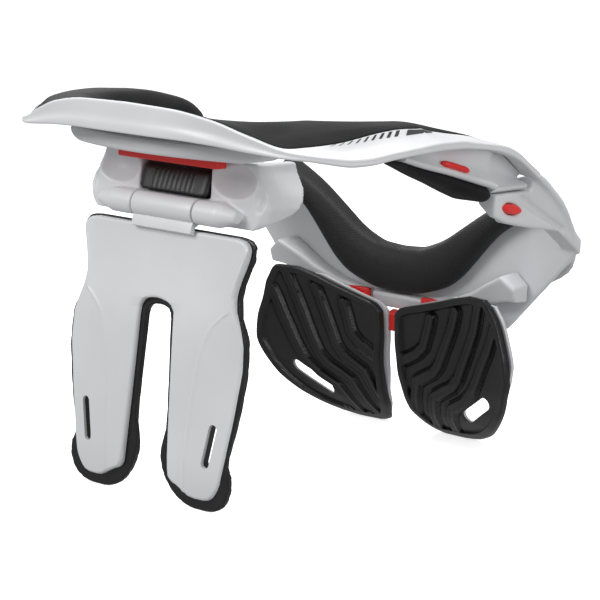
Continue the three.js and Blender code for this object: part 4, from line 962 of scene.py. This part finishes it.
def bar(name, x0, x1, y0, y1, z0, z1, r):
    """A bar along X whose long edges have the radius r and whose ends are drawn in a little."""
    x = np.array([x0, x0 + 0.3 * r, x0 + r, x1 - r, x1 - 0.3 * r, x1])
    size = np.array([0.82, 0.95, 1, 1, 0.95, 0.82])
    corners = np.array([[y0, z0], [y0, z1], [y1, z1], [y1, z0]], float)
    fine = rounded(corners[None], r, 4)[0]
    centre = corners.mean(0)
    body = centre + (fine - centre) * size[:, None, None]
    return mesh_of(name, *skin(across_x(x, body)))


put(bar("lock_bar_red", -37, 37, -3.2, 6, 194.2, 200.2, 1.2), RED, "lock", ["lock_bar"])

# %% [markdown]
# ## The moulded shells
# The front shell, the chest arms and the yoke are moulded, so no edge on them is sharp and every
# corner runs into the next. A Remesh modifier lays one even skin over a merged copy of the solid,
# and a few rounds of smoothing soften it. Rounded scoops are taken out of the yoke first, at both
# sides of the stop block.

# %% Shells


def scoop(place, size):
    """A squashed ball used as a cutter: a grid of angles, closed at both poles."""
    pole, round_it = np.linspace(0.02, np.pi - 0.02, 17), np.linspace(0, 2 * np.pi, 33)[:-1]
    v, u = np.meshgrid(pole, round_it, indexing="ij")
    ball = np.stack([np.sin(v) * np.cos(u), np.sin(v) * np.sin(u), np.cos(v)], -1)
    return shown("scoop", mesh_of("scoop", *skin(np.array(place) + ball * np.array(size))))


def moulded(mesh, voxel, rounds):
    """The mesh as one skin of small even faces of a size in mm, smoothed a number of times."""
    thing = shown(mesh.name, mesh)
    even = thing.modifiers.new("even", "REMESH")
    even.mode, even.voxel_size = "VOXEL", voxel / 1000
    soft = thing.modifiers.new("soft", "SMOOTH")
    soft.factor, soft.iterations = 0.5, rounds
    return solved(thing)


ARM_SKIN = (0.8, 16)
skins = {"front_shell": (1.15, 7), "chest_arm_right": ARM_SKIN, "chest_arm_left": ARM_SKIN}
for name, (voxel, rounds) in skins.items():
    mesh = moulded(merged_copy(name, name + "_moulded"), voxel, rounds)
    put(mesh, WHITE, "front", [name], sharp=60)

scoops = []
for s in (-1, 1):
    scoops.append(scoop((s * 43.0, -3.0, 188.0), (18.5, 17.0, 11.5)))
    scoops.append(scoop((s * 62.0, -2.0, 181.0), (4.5, 12.0, 12.0)))
yoke = cut(merged_copy("rear_yoke", "yoke_shell"), scoops)
put(moulded(yoke, 0.9, 6), WHITE, "rear", ["rear_yoke"], sharp=60)

# %% [markdown]
# ## Side arms and side pads
# Under each wing the rear half has an arm: a wall that swings out to a bright rolled edge towards the
# side joint, with a long black cushion under it. Both are sections along the wing, read from one
# table, so the cushion always lies right under the edge. The last part of the arm goes on over the
# cheek as a wall, which steps in at the left side, where the front half turns on its pin. The foam
# is tight, so the cushion is shaped directly.

# %% Arms and cushions
CHEEK_TOP, ARM_IN, ARM_FACE, ARM_END = 181.0, 112.8, 120.5, 136.8
WALL_END = {"right": 128.5, "left": 116.6}  # x of the wall's face over the end of the cheek
arm_rows = np.array([
    # place along the wing, underside, underside of the cushion, edge
    [54, 205.5, 203.0, 207.5], [62, 203.5, 200.3, 205.5], [80, 199.0, 193.8, 201.3],
    [100, 194.5, 187.2, 196.8], [110, 191.8, 183.6, 194.1], [120, 189.0, 180.2, 191.4],
    [130, 186.4, 177.2, 188.8], [137, 184.6, 176.2, 187.0], [156, 184.6, 176.2, 187.0],
])
arm_low, cushion_low, arm_edge = [reader(arm_rows[:, 0], arm_rows[:, k]) for k in (1, 2, 3)]


def arm_flare(y):
    """How far the arm's face has swung out, up to 12.6 mm at the side joint."""
    return 12.6 * smooth((y - 70) / (ARM_END - 70))


def under_table(x, y):
    """Height of the table's underside over a point of a wing, straight between its corners."""
    turn = np.where(y < TABLE_SIDE, 1.0, 1 + (y - TABLE_SIDE) / (TABLE_FRONT - TABLE_SIDE))
    ring, w = table_section(turn)
    d = (TABLE_HALF - x) / (TABLE_HALF - HOLE_HALF - hole_flare(turn)) * w
    low = ring[:, [-1, -2, -3, -4]]
    return np.array([np.interp(a, r[:, 0], r[:, 1]) for a, r in zip(d, low)])


def arm_ring(y, wall_end):
    """Sections of the arm: foot, rolled edge, a waist and the top, which meets the table. Past the
    joint it is a plain wall, whose face ends at x = wall_end."""
    joint = y > ARM_END
    low = np.where(joint, CHEEK_TOP + 0.8, arm_low(y))
    face = np.where(y > 155.2, wall_end, ARM_FACE + np.where(joint, 8.0, arm_flare(y)))
    top = under_table(face - 3, y) + 0.6
    edge = np.where(joint, low + 2.2, arm_edge(y))
    waist = np.clip(face - ARM_IN - 2.5, 0.6, 5.5 + 0.25 * arm_flare(y))
    return along_y(y, corner_list(
        (ARM_IN, low), (face - 1.6, low - 0.2), (face + 0.6, edge), (face - 2.4, edge + 2.2),
        (face - waist, 0.55 * edge + 0.45 * top), (face - 0.6 * waist, top),
        (ARM_IN, under_table(0 * y + ARM_IN, y) + 0.6),
    ))


def cushion_ring(y):
    """Sections of the cushion: it bulges out below the arm's foot, and both its ends round off."""
    low, under = cushion_low(y), arm_low(y) - 0.3
    wide = ARM_IN + arm_flare(y)
    roof = [under_table(ARM_IN - d + 0 * y, y) for d in (0, 3, 6, 9, 11)]
    top = np.min(roof + [arm_low(y) + 13], axis=0) - 0.8
    size = 0.35 + 0.65 * quarter(np.minimum(y - 54, 137.4 - y) / 7)
    bulge = 1.0 + np.clip((y - 105) / 12, 0, 1) * 1.2
    flat = corner_list(
        (ARM_IN - 0.4, under), (wide + 4.0, under), (wide + 5.0 + bulge, 0.5 * (under + low)),
        (wide + 1.5 + 0.5 * bulge, low), (ARM_IN - 7, low - 0.3), (ARM_IN - 11, low + 4),
        (ARM_IN - 10.6, top - 3), (ARM_IN - 7, top), (ARM_IN - 0.4, top),
    )
    pivot = corner_list((ARM_IN - 2, under))
    return along_y(y, pivot + (flat - pivot) * size[:, None, None])


y_arm = np.linspace(60, ARM_END - 0.01, 60), np.linspace(ARM_END + 0.5, 155, 12)
y_arm = np.concatenate([*y_arm, np.linspace(155.6, 176, 12)])
y_start = 54 + 7 * (1 - np.cos(np.linspace(0, np.pi / 2, 10)))
y_stop = 130.4 + 7 * np.sin(np.linspace(0.06, np.pi / 2, 12))
y_cushion = np.concatenate([y_start, np.linspace(61.5, 130, 60), y_stop])
arm_radii, cushion_radii = [0.8, 1.4, 1.8, 2.0, 5.0, 1.5, 0.5], [0.4, 1.5, 3.5, 3.5, 4, 4, 3, 3, 1]
pad_skin = rounded(cushion_ring(y_cushion), np.array(cushion_radii), 4)
for side, sign in SIDES:
    arm_skin = rounded(arm_ring(y_arm, WALL_END[side]), np.array(arm_radii), 4)
    arm_mesh = mesh_of("side_arm_wall_" + side, *skin(sided(arm_skin, sign)))
    put(arm_mesh, WHITE, "rear", ["side_arm_" + side], sharp=40)
    pad_mesh = mesh_of("side_pad_foam_" + side, *skin(sided(pad_skin, sign)))
    put(pad_mesh, CLOTH, "rear", ["side_pad_" + side], sharp=70)

# %% [markdown]
# A long red catch lies on the outside of each arm, just above its rolled edge.

# %% Red catches
CATCH_FROM, CATCH_TO = 93, 113
y = np.linspace(CATCH_FROM, CATCH_TO, 24)
size = quarter(np.maximum(np.minimum(y - CATCH_FROM, CATCH_TO - y) / 4.0, 0.02))
a = np.linspace(0, 2 * np.pi, 25)[:-1]
middle = corner_list((ARM_FACE + arm_flare(y) - 2.0, arm_edge(y) + 3.4))
oval = np.stack([2.6 * np.cos(a), 2.0 * np.sin(a)], -1)
rings = along_y(y, middle + size[:, None, None] * oval)
for side, sign in SIDES:
    put(mesh_of("arm_catch_" + side, *skin(sided(rings, sign))), RED, "rear", sharp=60)

# %% [markdown]
# The release button on each cheek is a flat oval that leans with the cheek's lower edge. It is an
# oval section carried out through the cheek's face, with a rounded brim.

# %% Release buttons
BUTTON_Y, BUTTON_Z, BUTTON_HALF, BUTTON_TALL, BUTTON_LEAN = 157.3, 171.4, 10.8, 3.0, 0.16
a = np.linspace(0, 2 * np.pi, 49)[:-1]
out = np.array([128.4, 130.4, 131.0, 131.4, 131.6])
size = np.array([1.0, 1.0, 0.96, 0.86, 0.6])[:, None, None]
oval_y = BUTTON_HALF * np.cos(a)
oval = np.stack([oval_y, BUTTON_TALL * np.sin(a) - BUTTON_LEAN * oval_y], -1)
rings = across_x(out, np.array([BUTTON_Y, BUTTON_Z]) + size * oval)
for side, sign in SIDES:
    button = mesh_of("release_button_oval_" + side, *skin(sided(rings, sign)))
    put(button, RED, "button_" + side, ["release_button_" + side], sharp=50)

# %% [markdown]
# ## Backing plates of the chest pads and their locks
# Each rubber pad sits on a white plate that shows as a narrow edge at the inner side and the top.

# %% Chest plates and locks
v, u = np.linspace(0.04, 0.955, 90), np.linspace(0, 1, 50)
low = CHEST_OUT * chest_in(v)
low += 3.0 * np.clip((0.25 - v) / 0.2, 0, 1) - 2.6 * np.clip((v - 0.25) / 0.15, 0, 1)
high = CHEST_OUT * chest_out(v) - 3.0 + 4.6 * np.clip((v - 0.45) / 0.15, 0, 1)
x = low[:, None] + (high - low)[:, None] * u
z = CHEST_TALL * v[:, None] + 0 * x
near, far = [np.stack([x, chest_y(x, z, off), z], -1) for off in (CHEST_T + 0.3, CHEST_T + 3.3)]
LOCK_X, LOCK_Z = 29.0, 89.5  # middle of a lock, seen from the rear
lock_y = CHEST_Y - CHEST_LEAN * 89 - CHEST_SPLAY * 28 + 9.4
for side, sign in SIDES:
    points, faces = shell_of(near, far)
    plate = mesh_of("chest_plate_white_" + side, sided(points, sign), faces)
    plate = cut(plate, [chest_slot(sign, 5.0)])
    put(plate, WHITE, "front", ["chest_plate_" + side], sharp=45)
    place = (sign * LOCK_X - 8, sign * LOCK_X + 8, lock_y, lock_y + 4.2, LOCK_Z - 5, LOCK_Z + 5)
    lock = bar("chest_lock_red_" + side, *place, 1.0)
    put(lock, RED, "front", ["chest_lock_" + side])

# %% [markdown]
# ## Marks on the wings
# A row of slanting dashes that grows into a bar, printed on the margin of each wing. Each mark is a
# thin patch that follows the table's own surface 0.3 mm above it.

# %% Wing marks


def margin_patch(turn, place):
    """Points on the margin: place 0 at the rim and 1 at the pad, lifted just clear of the plastic."""
    ring, w = table_section(turn.ravel())
    fine = rounded(ring[:, 4:8], np.array([0, 2.0, 5.0, 0.5]), 6)
    along = np.cumsum(np.linalg.norm(np.diff(fine, axis=1, prepend=fine[:, :1]), axis=-1), axis=1)
    at = place.ravel() * along[:, -1]
    spot = np.array([[np.interp(q, a, f[:, k]) for k in (0, 1)] for q, a, f in zip(at, along, fine)])
    return on_table(turn.ravel(), spot[:, 0] / w, spot[:, 1] + 0.3).reshape(*turn.shape, 3)


def wing_marks():
    """Points and faces of all marks of the right wing: nine dashes that grow, then the bar."""
    all_points, all_faces = [], []
    s, t = np.meshgrid(np.linspace(0, 1, 7), np.linspace(0, 1, 5), indexing="ij")
    index = np.arange(s.size).reshape(s.shape)
    quads = np.stack([index[:-1, :-1], index[1:, :-1], index[1:, 1:], index[:-1, 1:]], -1)
    marks = [(0.6 + 0.034 * k, 0.006 + 0.0014 * k) for k in range(9)] + [(0.925, 0.2)]
    for k, (start, long) in enumerate(marks):
        tall = (0.1 + 0.012 * k) * (1 - 0.75 * s * (k == 9))
        points = margin_patch(start + long * s + 0.022 * t, 0.94 - tall * (1 - t))
        all_points.append(points.reshape(-1, 3))
        all_faces += (quads.reshape(-1, 4) + k * s.size).tolist()
    return np.concatenate(all_points), all_faces


f = Finish("black_print", Roughness=0.45)
speck = f.node("ShaderNodeTexNoise", {}, Vector=f.place(), Scale=900.0)
PRINT = f.finish(**{"Base Color": f.mix(speck, (0.02, 0.02, 0.02, 1), (0.035, 0.035, 0.035, 1))})
SLOTS[PRINT] = "white_shell"
points, faces = wing_marks()
for side, sign in SIDES:
    mesh = bpy.data.meshes.new("wing_marks_" + side)
    mesh.from_pydata(((sided(points, sign) + SHIFT) / 1000).tolist(), [], faces)
    put(mesh, PRINT, "rear")

# %% [markdown]
# ## Sizes
# The boxes of the solids and of the visible model are printed in millimetres. The visible model
# has to stay in the solids' box.

# %% Sizes
new_box = [list(corner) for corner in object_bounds()]
for what, box in (("solids", cad_box), ("visible", new_box)):
    print(what, "box in mm:", np.round(np.array(box) * 1000, 1).tolist())
